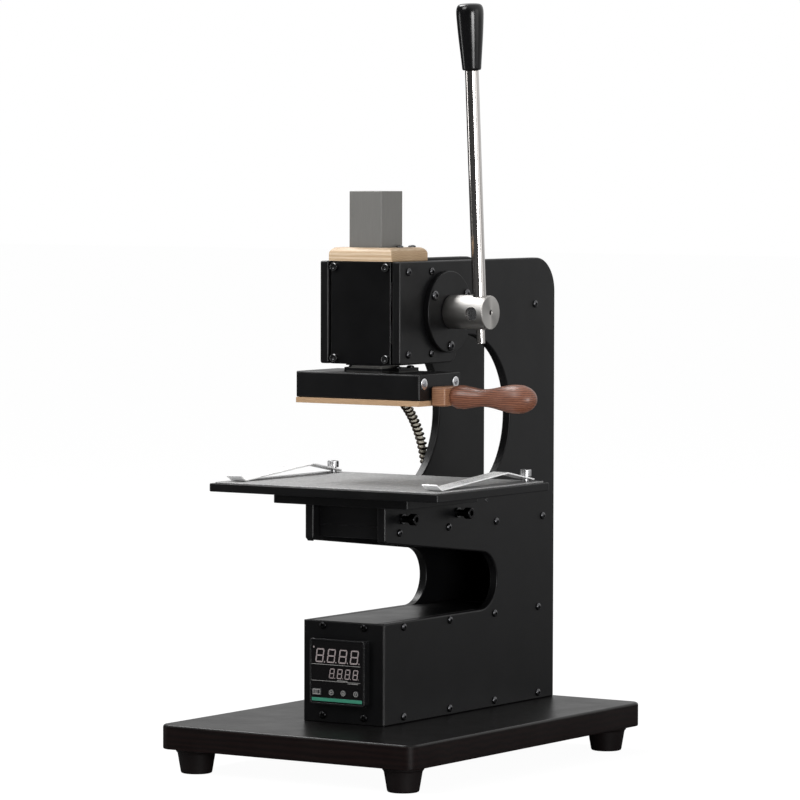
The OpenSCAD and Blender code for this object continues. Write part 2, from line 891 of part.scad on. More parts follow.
module at_cap_screws() {
    for (x = [-1, 1]) for (y = cap_screw_y) translate([x * cap_screw_x, y, cap_top]) children();
}

module wood_cap() {
    color(beech) on_mid() difference() {
        intersection() {
            along_x(-cap_w / 2, cap_w) top_rounded(cap_front, cap_back, frame_top, cap_top, cap_r);
            along_y(cap_front, cap_back - cap_front)
                top_rounded(-cap_w / 2, cap_w / 2, frame_top, cap_top, cap_r);
        }
        ram_way(free_fit);
        at_cap_screws() drill(m3_d, cap_h + 1);
    }
}

module cap_screws() {
    color(plastic_black) on_mid() at_cap_screws() button_screw(m3_d, m3_head_d, m3_head_h, cap_screw_grip);
}

// Bearings of the lever's shaft
module at_flange_screws() {
    for (a = flange_bolt_angles)
        translate([frame_w / 2 + flange_t, axis_y + flange_bolt_r * cos(a), axis_z + flange_bolt_r * sin(a)])
            rotate([0, 90, 0]) children();
}

module bearing_flange() {
    color(satin_black) on_mid() difference() {
        translate([0, axis_y, axis_z]) {
            x_cylinder(frame_w / 2, flange_t, flange_d);
            x_cylinder(frame_w / 2 - plate_t, plate_t + 0.01, boss_d);
        }
        translate([0, axis_y, axis_z]) x_cylinder(0, frame_w, shaft_d + 2 * run_fit);
        at_flange_screws() drill(m4_d, plate_t + flange_t + 1);
    }
}

module flange_screws() {
    color(steel) on_mid() at_flange_screws() button_screw(m4_d, m4_head_d, m4_head_h, plate_t + flange_t);
}

module left_bush() {
    color(bronze) on_mid() translate([0, axis_y, axis_z]) difference() {
        union() {
            x_cylinder(-frame_w / 2 - 0.01, plate_t + 0.01, boss_d);
            x_cylinder(-frame_w / 2 - bush_lip_t, bush_lip_t, bush_lip_d);
        }
        x_cylinder(-frame_w, frame_w, shaft_d + 2 * run_fit);
    }
}

module lock_rings() {
    color(steel) on_mid() for (y = lock_y) translate([0, y, lock_z]) difference() {
        x_cylinder(frame_w / 2, lock_ring_t, lock_ring_d);
        x_cylinder(frame_w / 2 - 1, lock_ring_t + 2, m5_d + 2 * run_fit);
    }
}

module lock_screw(i) {
    lock_shank = plate_t + lock_ring_t + lock_out[i] - free_fit;
    color(steel) on_mid() translate([frame_w / 2 + lock_ring_t + lock_out[i], lock_y[i], lock_z])
        rotate([0, 90, 0]) cap_screw(m5_d, m5_head_d, m5_head_h, lock_shank);
}

module lock_screw_front() {
    lock_screw(0);
}

module lock_screw_rear() {
    lock_screw(1);
}

// Lever
module on_axis() {
    translate([0, axis_y, axis_z]) children();
}

// Along the lever's rod, which leans towards the front
module on_rod() {
    translate([rod_x, 0, 0]) rotate([lever_lean, 0, 0]) children();
}

shaft_left = -frame_w / 2 - bush_lip_t - free_fit - collar_l;

module lever_shaft() {
    color(bright_steel) on_mid() on_axis() difference() {
        union() {
            x_cylinder(shaft_left, hub_start - shaft_left + 0.01, shaft_d);
            x_cylinder(hub_start, 3, hub_d - 3);
            x_cylinder(hub_start + 3, hub_l - 4, hub_d);
            translate([hub_end - 1.01, 0, 0]) rotate([0, 90, 0])
                cylinder(h = 1.01, d1 = hub_d, d2 = hub_d - 1.6);
        }
        on_rod() {
            translate([0, 0, -hub_d]) cylinder(h = 2 * hub_d, d = rod_d + 2 * seat_fit);
            y_cylinder(-hub_d, 2 * hub_d, rod_d + 2 * seat_fit);
        }
        x_cylinder(hub_end - 5, 6, 3.3);
    }
}

module shaft_collar() {
    color(steel) on_mid() on_axis() difference() {
        x_cylinder(shaft_left, collar_l, collar_d);
        x_cylinder(shaft_left - 1, collar_l + 2, shaft_d + 2 * seat_fit);
    }
}

// Involute pinion, with one tooth pointing at the rack
press_angle = 20;
backlash = 0.3;
base_r = pitch_r * cos(press_angle);
tip_r = pitch_r + tooth_tip;
root_r = pitch_r - tooth_root;

function involute(a) = tan(a) * 180 / PI - a;
function half_tooth(r) = 90 / pinion_teeth - backlash / 4 / pitch_r * 180 / PI
    + involute(press_angle) - involute(acos(min(1, base_r / r)));

flank_h = tip_r - base_r;
flank_r = [root_r, max(base_r, root_r + 0.1), base_r + flank_h * 0.3, base_r + flank_h * 0.65, tip_r];
tooth_points = concat(
    [for (r = flank_r) [r, -half_tooth(max(r, base_r))]],
    [for (i = [len(flank_r) - 1:-1:0]) [flank_r[i], half_tooth(max(flank_r[i], base_r))]]
);
pinion_points = [for (k = [0:pinion_teeth - 1]) for (p = tooth_points)
    p[0] * [cos(180 + p[1] + k * 360 / pinion_teeth), sin(180 + p[1] + k * 360 / pinion_teeth)]];

module pinion() {
    color(steel) on_mid() on_axis() difference() {
        along_x(-pinion_w / 2, pinion_w) polygon(pinion_points);
        x_cylinder(-pinion_w, 2 * pinion_w, shaft_d + 2 * seat_fit);
    }
}

module pinion_spacers() {
    color(steel) on_mid() on_axis() for (side = [-1, 1]) difference() {
        spacer_l = inner_w / 2 - pinion_w / 2 - free_fit;
        x_cylinder(side > 0 ? pinion_w / 2 : -pinion_w / 2 - spacer_l, spacer_l, boss_d);
        x_cylinder(-inner_w, 2 * inner_w, shaft_d + 2 * seat_fit);
    }
}

rod_tail_l = hub_d / 2 + 10.5;

module lever_rod() {
    color(bright_steel) on_mid() on_axis() on_rod() {
        translate([0, 0, -hub_d / 2 + 1]) cylinder(h = rod_l + hub_d / 2 - 1, d = rod_d);
        translate([0, 0, -rod_tail_l]) cylinder(h = rod_tail_l, d = rod_d - 3.6);
        translate([0, 0, rod_l - 0.01]) cylinder(h = knob_l * 0.6, d = rod_d - 4);
    }
}

module lever_knob() {
    color(plastic_black) on_mid() on_axis() on_rod() translate([0, 0, rod_l]) difference() {
        rotate_extrude() polygon([[0, 0], [knob_d * 0.32, 0], [knob_d * 0.345, 1],
            [knob_d * 0.46, knob_l * 0.55], [knob_d * 0.5, knob_l * 0.84], [knob_d * 0.49, knob_l * 0.91],
            [knob_d * 0.44, knob_l * 0.97], [knob_d * 0.36, knob_l], [0, knob_l]]);
        translate([0, 0, -1]) cylinder(h = knob_l * 0.6 + 1.5, d = rod_d - 4 + 2 * seat_fit);
    }
}

// Ram
ram_bottom = block_top + shield_t + flange_plate_t;
ram_top = cap_top + ram_above;
rack_depth = rack_sink + tooth_tip + tooth_root + 3;
tooth_pitch = PI * gear_module;
rack_teeth = 16;
rack_low_teeth = 3;
rack_bottom = axis_z - rack_low_teeth * tooth_pitch;
rack_top = rack_bottom + rack_teeth * tooth_pitch;

module ram() {
    color(ram_grey) on_mid() difference() {
        translate([-ram_size / 2, ram_front, ram_bottom]) cube([ram_size, ram_size, ram_top - ram_bottom]);
        translate([-rack_w / 2 - seat_fit, ram_back - rack_depth - seat_fit, rack_bottom - seat_fit])
            cube([rack_w + 2 * seat_fit, rack_depth + seat_fit + 1, rack_top - rack_bottom + 2 * seat_fit]);
        for (x = [-1, 1]) translate([x * ram_size / 2, 0, ram_bottom + neck_rise])
            y_cylinder(ram_front - 1, ram_size + 2, 2 * neck_r);
        for (y = [ram_front, ram_back]) translate([0, y, ram_bottom + neck_rise])
            x_cylinder(-ram_size / 2 - 1, ram_size + 2, 2 * neck_r);
        ram_screw() translate([0, 0, -1])
            cylinder(h = ram_screw_depth + 2, d = m5_d + 2 * seat_fit, $fn = 24);
    }
}

module ram_screw() {
    translate([0, ram_y, ram_bottom]) children();
}

rack_half = tooth_pitch / 4 - backlash / 4;
rack_half_tip = rack_half - tooth_tip * tan(press_angle);
rack_half_root = rack_half + tooth_root * tan(press_angle);
function rack_tooth(k) = let (z = rack_bottom + (k + 0.5) * tooth_pitch) [
    [pitch_y - tooth_root, z - rack_half_root], [pitch_y + tooth_tip, z - rack_half_tip],
    [pitch_y + tooth_tip, z + rack_half_tip], [pitch_y - tooth_root, z + rack_half_root]];

module rack_bar() {
    color(steel) on_mid() along_x(-rack_w / 2, rack_w) polygon(concat(
        [[ram_back - rack_depth, rack_bottom], [pitch_y - tooth_root, rack_bottom]],
        [for (k = [0:rack_teeth - 1]) for (p = rack_tooth(k)) p],
        [[pitch_y - tooth_root, rack_top], [ram_back - rack_depth, rack_top]]
    ));
}

// Heat block
module at_ram_flange_screws() {
    for (x = [-1, 1]) for (y = [-1, 1])
        translate([x * ram_flange_hole_x, flange_ear_y + y * ram_flange_hole_step / 2, ram_bottom])
            children();
}

ram_flange_grip = flange_plate_t + shield_t + flange_screw_depth;
flange_ear_front = block_y - flange_ear_lead;
flange_ear_y = flange_ear_front + flange_ear_d / 2;

// Foot of the ram from above: a lip round the ram and two ears for the screws
module ram_foot(z0, z1) {
    mid_box(ram_size + 2 * ram_lip, ram_front - ram_lip, ram_back + ram_lip, z0, z1);
    mid_box(flange_ear_w, flange_ear_front, flange_ear_front + flange_ear_d, z0, z1);
}

module flange_hole() {
    drill(m3_d, ram_flange_grip + 0.5);
}

module ram_flange() {
    color(satin_black) on_mid() difference() {
        ram_foot(block_top + shield_t, ram_bottom);
        at_ram_flange_screws() flange_hole();
        ram_screw() drill(m5_d, flange_plate_t + 1);
    }
}

module ram_flange_screws() {
    color(satin_black) on_mid() {
        at_ram_flange_screws() button_screw(m3_d, m3_head_d, m3_head_h, ram_flange_grip);
        ram_screw() translate([0, 0, -flange_plate_t])
            cylinder(h = flange_plate_t + ram_screw_depth, d = m5_d, $fn = 24);
    }
}

module heat_shield() {
    color(mica) on_mid() difference() {
        ram_foot(block_top, block_top + shield_t);
        at_ram_flange_screws() flange_hole();
    }
}

module type_rail(grow) {
    translate([block_y - slot_neck_w / 2 - grow, type_top - 0.01])
        square([slot_neck_w + 2 * grow, slot_neck_h + slide_fit + 0.02]);
    translate([block_y - slot_head_w / 2 - grow, type_top + slide_fit + slot_neck_h - grow])
        square([slot_head_w + 2 * grow, slot_head_h + 2 * grow]);
}

side_screw_proud = 0.6;
side_screw_seat = m5_head_h - side_screw_proud;

module at_block_screws() {
    for (y = [-1, 1])
        translate([block_right - side_screw_seat, block_y + y * side_screw_step / 2, side_screw_z])
            rotate([0, 90, 0]) children();
}

module heat_block() {
    color(satin_black) on_mid() difference() {
        mid_box(block_w, block_front, block_back, block_bottom, block_top);
        along_x(-block_w / 2 - 1, block_w + 2) type_rail(slide_fit);
        for (y = [-1, 1]) translate([0, block_y + y * heater_step, heater_z])
            x_cylinder(-block_w / 2 - 1, block_w + 1 - heater_stop, heater_d + 2 * seat_fit);
        at_block_screws() drill(m5_d, side_hole_l);
        at_block_screws() cylinder(h = side_screw_seat + 1, d = m5_head_d + 2 * free_fit);
        at_ram_flange_screws() flange_hole();
        translate([hose_x, 0, hose_start_z])
            y_cylinder(block_back - lead_hole_l, lead_hole_l + 1, lead_d + 2 * seat_fit);
    }
}

module heaters() {
    color(steel) on_mid() for (y = [-1, 1]) translate([0, block_y + y * heater_step, heater_z])
        x_cylinder(-block_w / 2 + 1, heater_l, heater_d);
}

module block_screws() {
    color(bright_steel) on_mid() at_block_screws() cap_screw(m5_d, m5_head_d, m5_head_h, side_screw_l);
}

module block_ferrule() {
    color(steel) on_mid() translate([hose_x, 0, hose_start_z]) difference() {
        y_cylinder(block_back, ferrule_l, ferrule_d);
        y_cylinder(block_back - 1, ferrule_l + 2, lead_d + 2 * seat_fit);
    }
}

// Type plate with its handle
module type_plate() {
    color(brass) on_mid() {
        mid_box(block_w, block_front, block_back, type_bottom, type_top);
        along_x(-block_w / 2, block_w) type_rail(0);
        translate([block_right - 0.01, block_y - tongue_w / 2, type_bottom])
            cube([handle_gap + tongue_l + 0.01, tongue_w, type_t]);
    }
}

function swell(x) = x < 0.1 ? lookup(x, [[0, 0.66], [0.05, 0.79], [0.1, 0.82]])
    : x < 0.36 ? 0.715 + 0.105 * cos(180 * (x - 0.1) / 0.26)
    : x < 0.78 ? 0.805 - 0.195 * cos(180 * (x - 0.36) / 0.42)
    : sqrt(max(0, 1 - pow((x - 0.78) / 0.22, 2)));

handle_steps = 28;
turned_l = handle_l - root_l;

module type_handle() {
    color(walnut) on_mid() difference() {
        union() {
            translate([handle_x, block_y - root_w / 2, type_bottom])
                cube([root_l, root_w, root_h]);
            translate([handle_x + root_l - 0.5, block_y, handle_z]) rotate([0, 90, 0]) rotate_extrude()
                polygon(concat([[0, 0]], [for (i = [0:handle_steps])
                    [handle_d / 2 * max(0.02, swell(i / handle_steps)), (turned_l + 0.8) * i / handle_steps]],
                    [[0, turned_l + 0.8]]));
        }
        translate([handle_x - 1, block_y - tongue_w / 2 - seat_fit, type_bottom - seat_fit])
            cube([tongue_l + 1 + seat_fit, tongue_w + 2 * seat_fit, type_t + 2 * seat_fit]);
    }
}

// Table
module at_clip_screws() {
    for (x = [-1, 1]) translate([x * clip_x, clip_screw_y, 0]) children();
}

module table_plate() {
    color(satin_black) on_mid() difference() {
        mid_slab(table_w, table_front, table_back, slide_top, table_top, table_corner_r);
        at_clip_screws() translate([0, 0, table_top]) drill(m5_d, table_t + 1);
    }
}

module clip_screws() {
    color(bright_steel) on_mid() at_clip_screws() translate([0, 0, clip_head_z])
        cap_screw(m5_d, m5_head_d, clip_screw_head_h, clip_head_z - slide_top);
}

module table_mat() {
    color(rubber) on_mid() difference() {
        mid_slab(table_w - 2 * mat_inset, table_front + mat_inset, table_back - mat_inset, table_top, mat_top,
            table_corner_r);
        at_clip_screws() translate([0, 0, table_top - 1]) cylinder(h = mat_t + 2, d = m5_d + 1);
    }
}

module slide_plate() {
    color(satin_black) on_mid() {
        mid_slab(slide_w, slide_front, slide_back, arm_top, slide_top, table_corner_r);
        mid_box(inner_w - 2 * slide_fit, keel_front, keel_front + keel_l, arm_plate_top, arm_top + 0.01);
    }
}

// Side view of a paper clip: a ridge, a rounded foot and a curled tail
clip_low = mat_top + free_fit;
clip_foot_r = 5;
clip_front_angle = atan((clip_rise) / (clip_ridge_y - clip_foot_y));
clip_tail_angle = atan(clip_tail_rise / (clip_foot_y - clip_tail_y));
clip_line = concat(
    [[clip_end_y, clip_low], [clip_ridge_y, clip_low + clip_rise]],
    [for (i = [0:6]) let (a = -90 + clip_front_angle - (clip_front_angle + clip_tail_angle) * i / 6)
        [clip_foot_y + clip_foot_r * cos(a), clip_low + clip_foot_r * (1 + sin(a))]],
    [[clip_tail_y, clip_low + clip_tail_rise]]
);

function unit(v) = v / norm(v);
function side_of(p, q) = let (d = unit(q - p)) [d[1], -d[0]];
function clip_normal(i) = i == 0 ? side_of(clip_line[0], clip_line[1])
    : i == len(clip_line) - 1 ? side_of(clip_line[i - 1], clip_line[i])
    : let (a = side_of(clip_line[i - 1], clip_line[i]), b = side_of(clip_line[i], clip_line[i + 1]))
        (a + b) / (1 + a * b);
clip_upper = [for (i = [0:len(clip_line) - 1]) clip_line[i] + clip_t * clip_normal(i)];

module clip() {
    difference() {
        intersection() {
            along_x(-clip_w / 2, clip_w) polygon(concat(clip_line,
                [for (i = [len(clip_upper) - 1:-1:0]) clip_upper[i]]));
            translate([0, 0, mat_top - 1]) linear_extrude(clip_rise + clip_clear) {
                translate([-clip_w / 2, clip_tail_y - 5]) square([clip_w, clip_screw_y - clip_tail_y + 5]);
                translate([0, clip_screw_y]) circle(d = clip_w);
            }
        }
        translate([0, clip_screw_y, mat_top - 2])
            cylinder(h = clip_rise + clip_clear, d = m5_d + 2 * free_fit);
    }
}

module clip_left() {
    color(bright_steel) on_mid() translate([-clip_x, 0, 0]) clip();
}

module clip_right() {
    color(bright_steel) on_mid() translate([clip_x, 0, 0]) clip();
}

// Hose of the heater's lead
module hose_elbow() {
    color(satin_black) on_mid() difference() {
        translate([-frame_w / 2 - elbow_w, elbow_y - elbow_d / 2, elbow_z]) cube([elbow_w, elbow_d, elbow_h]);
        translate([hose_x, elbow_y, elbow_z + elbow_h / 3]) cylinder(h = elbow_h, d = lead_d + 2 * seat_fit);
        translate([0, elbow_y, elbow_z + elbow_h / 3]) x_cylinder(hose_x - 2, elbow_w, 6);
    }
}

// Cubic curve from the ferrule, straight back at first, to the elbow, straight down at last
hose_lead_in = 3;
curve_from = hose_from + [hose_lead_in, 0];
curve_to = hose_to + [0, hose_lead_in];
curve_points = [curve_from, curve_from + [hose_reach, 0], curve_to + [0, hose_drop], curve_to];

function curve(t) = let (s = 1 - t) s * s * s * curve_points[0] + 3 * s * s * t * curve_points[1]
    + 3 * s * t * t * curve_points[2] + t * t * t * curve_points[3];
function heading(t) = let (s = 1 - t) unit(s * s * (curve_points[1] - curve_points[0])
    + 2 * s * t * (curve_points[2] - curve_points[1]) + t * t * (curve_points[3] - curve_points[2]));

// Place on the curve at an even share of its length
curve_steps = 60;
curve_marks = [for (i = [0:curve_steps]) curve(i / curve_steps)];
function curve_run(i) = i < curve_steps ? norm(curve_marks[i + 1] - curve_marks[i]) : 0;
curve_runs = [for (i = 0, run = 0; i <= curve_steps; run = run + curve_run(i), i = i + 1) run];
curve_l = curve_runs[curve_steps];
function even(share) = lookup(share * curve_l, [for (i = [0:curve_steps]) [curve_runs[i], i / curve_steps]]);

function on_hose(p, across, out) = [hose_x + across, p[0] + out[0], p[1] + out[1]];
function curl_point(share) =
    let (t = even(share), h = heading(t), up = [-h[1], h[0]], a = 360 * hose_curls * share)
    on_hose(curve(t), hose_mean_r * sin(a), hose_mean_r * cos(a) * up);
hose_middle = concat(
    [on_hose(hose_from, 0, [0, hose_mean_r]), on_hose(hose_from + [hose_wire_d, 0], 0, [0, hose_mean_r])],
    [for (i = [0:hose_curls * curl_rings]) curl_point(i / (hose_curls * curl_rings))],
    [on_hose(hose_to + [0, hose_wire_d], 0, [hose_mean_r, 0]), on_hose(hose_to, 0, [hose_mean_r, 0])]
);
hose_axis = concat(
    [on_hose(hose_from, 0, [0, 0]), on_hose(hose_from + [hose_wire_d, 0], 0, [0, 0])],
    [for (i = [0:hose_curls * curl_rings]) on_hose(curve(even(i / (hose_curls * curl_rings))), 0, [0, 0])],
    [on_hose(hose_to + [0, hose_wire_d], 0, [0, 0]), on_hose(hose_to, 0, [0, 0])]
);
hose_aside = [for (i = [0:len(hose_middle) - 1]) hose_middle[i] - hose_axis[i]];
lead_middle = concat(
    [on_hose(hose_from, 0, [0, 0])],
    [for (i = [0:lead_rings]) on_hose(curve(even(i / lead_rings)), 0, [0, 0])],
    [on_hose(hose_to, 0, [0, 0])]
);
lead_aside = [for (p = lead_middle) [1, 0, 0]];

// Tube of flat-sided rings along a row of points, each ring set out from the direction given beside its point
function ring_heading(m, i) = unit(m[min(i + 1, len(m) - 1)] - m[max(i - 1, 0)]);
function tube_points(m, aside, d, sides) = [for (i = [0:len(m) - 1])
    let (h = ring_heading(m, i), v = unit(cross(h, aside[i])), u = cross(v, h))
    for (k = [0:sides - 1]) m[i] + d / 2 * (cos(360 * k / sides) * u + sin(360 * k / sides) * v)];
function tube_faces(rings, sides) = concat(
    [for (k = [1:sides - 2]) [0, k, k + 1]],
    [for (i = [0:rings - 2]) for (k = [0:sides - 1]) for (f = [0, 1])
        let (a = i * sides + k, b = i * sides + (k + 1) % sides)
        f == 0 ? [a, a + sides, b] : [b, a + sides, b + sides]],
    [for (k = [1:sides - 2]) [(rings - 1) * sides, (rings - 1) * sides + k + 1, (rings - 1) * sides + k]]
);

module tube(m, aside, d, sides) {
    polyhedron(tube_points(m, aside, d, sides), tube_faces(len(m), sides));
}

hose_self_gap = min([for (i = [0:2:len(hose_middle) - 1]) for (j = [i + 5:len(hose_middle) - 1])
    if (j < i + 3 * curl_rings) norm(hose_middle[i] - hose_middle[j])]) - hose_wire_d;
echo(hose_self_gap = hose_self_gap, hose_length = curve_l + 2 * hose_lead_in);

module hose_coil() {
    color(bronze) on_mid() tube(hose_middle, hose_aside, hose_wire_d, curl_sides);
}

module heater_lead() {
    color(sleeve_tan) on_mid() tube(lead_middle, lead_aside, lead_d, lead_sides);
}

base_board();
feet();
base_screws();
side_plate_left();
side_plate_right();
bottom_plate();
box_roof_plate();
arm_plate();
plate_screws();
panel_screws();
front_panel();
controller_case();
controller_face();
key_set();
key_shift();
key_down();
key_up();
relay();
rear_cover();
mains_inlet();
switch_housing();
switch_rocker();
tie_rod();
lower_guide();
upper_guide();
head_panel();
wood_cap();
cap_screws();
bearing_flange();
flange_screws();
left_bush();
hose_elbow();
lock_rings();
lock_screw_front();
lock_screw_rear();
lever_shaft();
shaft_collar();
pinion();
pinion_spacers();
lever_rod();
lever_knob();
ram();
rack_bar();
ram_flange();
ram_flange_screws();
heat_shield();
heat_block();
heaters();
block_screws();
block_ferrule();
hose_coil();
heater_lead();
type_plate();
type_handle();
table_plate();
table_mat();
slide_plate();
clip_screws();
clip_left();
clip_right();
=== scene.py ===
"""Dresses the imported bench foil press: worked edges, finishes, display, spiral hose and studio."""

import json
import logging
import math
from contextlib import contextmanager
from dataclasses import dataclass, field
from enum import Enum
from typing import Any, Callable, Dict, Iterator, List, Optional, Sequence, Tuple

import bmesh
import bpy
from mathutils import Matrix, Vector

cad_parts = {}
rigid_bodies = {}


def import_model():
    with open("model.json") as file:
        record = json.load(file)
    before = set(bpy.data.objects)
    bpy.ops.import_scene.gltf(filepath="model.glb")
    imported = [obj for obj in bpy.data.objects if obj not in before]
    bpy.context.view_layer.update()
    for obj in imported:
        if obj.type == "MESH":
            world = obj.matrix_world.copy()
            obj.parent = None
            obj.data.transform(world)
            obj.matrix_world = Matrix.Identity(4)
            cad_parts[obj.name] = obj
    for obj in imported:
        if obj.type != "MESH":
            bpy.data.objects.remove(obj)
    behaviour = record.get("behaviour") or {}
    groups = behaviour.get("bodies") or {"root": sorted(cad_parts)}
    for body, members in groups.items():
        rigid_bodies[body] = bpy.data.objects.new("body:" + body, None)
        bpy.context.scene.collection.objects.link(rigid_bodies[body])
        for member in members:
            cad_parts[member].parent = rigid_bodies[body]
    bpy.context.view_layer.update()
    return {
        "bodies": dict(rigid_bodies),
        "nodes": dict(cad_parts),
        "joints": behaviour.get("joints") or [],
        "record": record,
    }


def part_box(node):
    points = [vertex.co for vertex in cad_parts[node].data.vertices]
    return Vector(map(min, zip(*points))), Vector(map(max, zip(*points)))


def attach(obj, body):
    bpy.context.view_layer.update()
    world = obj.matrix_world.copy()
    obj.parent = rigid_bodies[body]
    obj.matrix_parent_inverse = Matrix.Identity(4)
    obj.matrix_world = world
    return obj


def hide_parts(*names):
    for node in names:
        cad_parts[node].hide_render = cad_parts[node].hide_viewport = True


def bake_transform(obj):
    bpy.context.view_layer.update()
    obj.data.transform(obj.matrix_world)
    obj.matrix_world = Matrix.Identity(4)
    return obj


LOG = logging.getLogger("foil_press")

# A millimetre, the frame's middle plane, the welding distances and the reach of a pick
MM = 0.001
MID_X = -13.0
WELD = 0.000002
CAD_WELD = 0.000004
NEAR = 0.00005

# Largest angle between CAD faces that count as one, and the area step that lets a flat face set its normal
FLAT = math.radians(0.6)
FINE_LEVEL = 1e-8

QUARTER = math.pi / 2
ORIGIN = Vector((0, 0, 0))
RIGHT = Vector((1, 0, 0))
BACK = Vector((0, 1, 0))
UP = Vector((0, 0, 1))

Color = Tuple[float, float, float]
Outline = List[Tuple[float, float]]
Piece = bpy.types.Object
Socket = bpy.types.NodeSocket
Tree = bpy.types.NodeTree


class Part(Enum):
    """Parts of a mesh that can be picked in edit mode."""

    VERTS = "VERT"
    EDGES = "EDGE"


class Icon(Enum):
    """Marks printed on the controller's keys."""

    FRAME = "frame"
    LEFT = "left"
    DOWN = "down"
    UP = "up"


def spot(x: float, y: float, z: float) -> Vector:
    """Turns a place on the machine, in millimetres from its middle, into a point of the row frame."""
    return Vector(((x + MID_X) * MM, y * MM, z * MM))


def tint(red: int, green: int, blue: int) -> Color:
    """Turns a colour as a screen shows it into a linear one.

    Args:
        red: Red from 0 to 255.
        green: Green from 0 to 255.
        blue: Blue from 0 to 255.

    Returns:
        The linear colour.
    """

    def straight(value: int) -> float:
        """Straightens one channel."""
        share = value / 255
        return share / 12.92 if share <= 0.04045 else ((share + 0.055) / 1.055) ** 2.4

    return straight(red), straight(green), straight(blue)


def scaled(color: Color, by: float) -> Color:
    """Makes a colour lighter or darker by a factor."""
    return color[0] * by, color[1] * by, color[2] * by


class Desk:
    """A node tree with short calls to place, feed and join nodes."""

    def __init__(self, tree: Tree) -> None:
        """Takes the tree to work on."""
        self.tree = tree

    def put(self, kind: str, feeds: Optional[Dict[Any, Any]] = None, **settings: Any) -> bpy.types.Node:
        """Places a shader node.

        Args:
            kind: Blender's name of the node's type, without its common start.
            feeds: Value of each input, or the socket that is joined to it.
            **settings: Values of the node's own properties.

        Returns:
            The new node.
        """
        node = self.tree.nodes.new(f"ShaderNode{kind}")
        for key, value in settings.items():
            setattr(node, key, value)
        for key, value in (feeds or {}).items():
            self.feed(node.inputs[key], value)
        return node

    def feed(self, target: Socket, value: Any) -> None:
        """Joins a socket to an input, or sets the input's value.

        Args:
            target: The input.
            value: A socket, a number, a vector or a colour.
        """
        if isinstance(value, bpy.types.NodeSocket):
            self.tree.links.new(value, target)
        else:
            target.default_value = (*value, 1.0) if target.type == "RGBA" else value

    def here(self) -> Socket:
        """Gives the object's own coordinates."""
        return self.put("TexCoord").outputs["Object"]

    def math(self, operation: str, first: Socket, second: Any, clamp: bool = False) -> Socket:
        """Works out a value from two others, kept between 0 and 1 where it is clamped."""
        return self.put("Math", {0: first, 1: second}, operation=operation, use_clamp=clamp).outputs[0]

    def vector(self, operation: str, first: Socket, second: Any = (0.0, 0.0, 0.0)) -> Socket:
        """Works on vectors; a length or a dot product is a value."""
        node = self.put("VectorMath", {0: first, 1: second}, operation=operation)
        return node.outputs["Value" if operation in ("LENGTH", "DOT_PRODUCT") else "Vector"]

    def noise(self, at: Socket, scale: Any, detail: float, rough: float = 0.6) -> Socket:
        """Gives a noise with so many finer layers."""
        feeds = {"Vector": at, "Scale": scale, "Detail": detail, "Roughness": rough}
        return self.put("TexNoise", feeds).outputs["Fac"]

    def blend(self, share: Socket, low: Any, high: Any) -> Socket:
        """Mixes two colours by the share of the second."""
        return self.put("Mix", {0: share, 6: low, 7: high}, data_type="RGBA").outputs[2]

    def span(
        self,
        source: Socket,
        low: float,
        high: float,
        start: float = 0.0,
        stop: float = 1.0,
        ease: str = "LINEAR",
    ) -> Socket:
        """Spreads a value over a new range, low at the start and high at the stop."""
        feeds = {"Value": source, "From Min": start, "From Max": stop, "To Min": low, "To Max": high}
        return self.put("MapRange", feeds, interpolation_type=ease).outputs["Result"]

    def bump(self, height: Socket, strength: float, depth: float) -> Socket:
        """Raises a surface by a height, whose full depth is in metres, and gives the normal."""
        return self.put("Bump", {"Height": height, "Strength": strength, "Distance": depth}).outputs["Normal"]


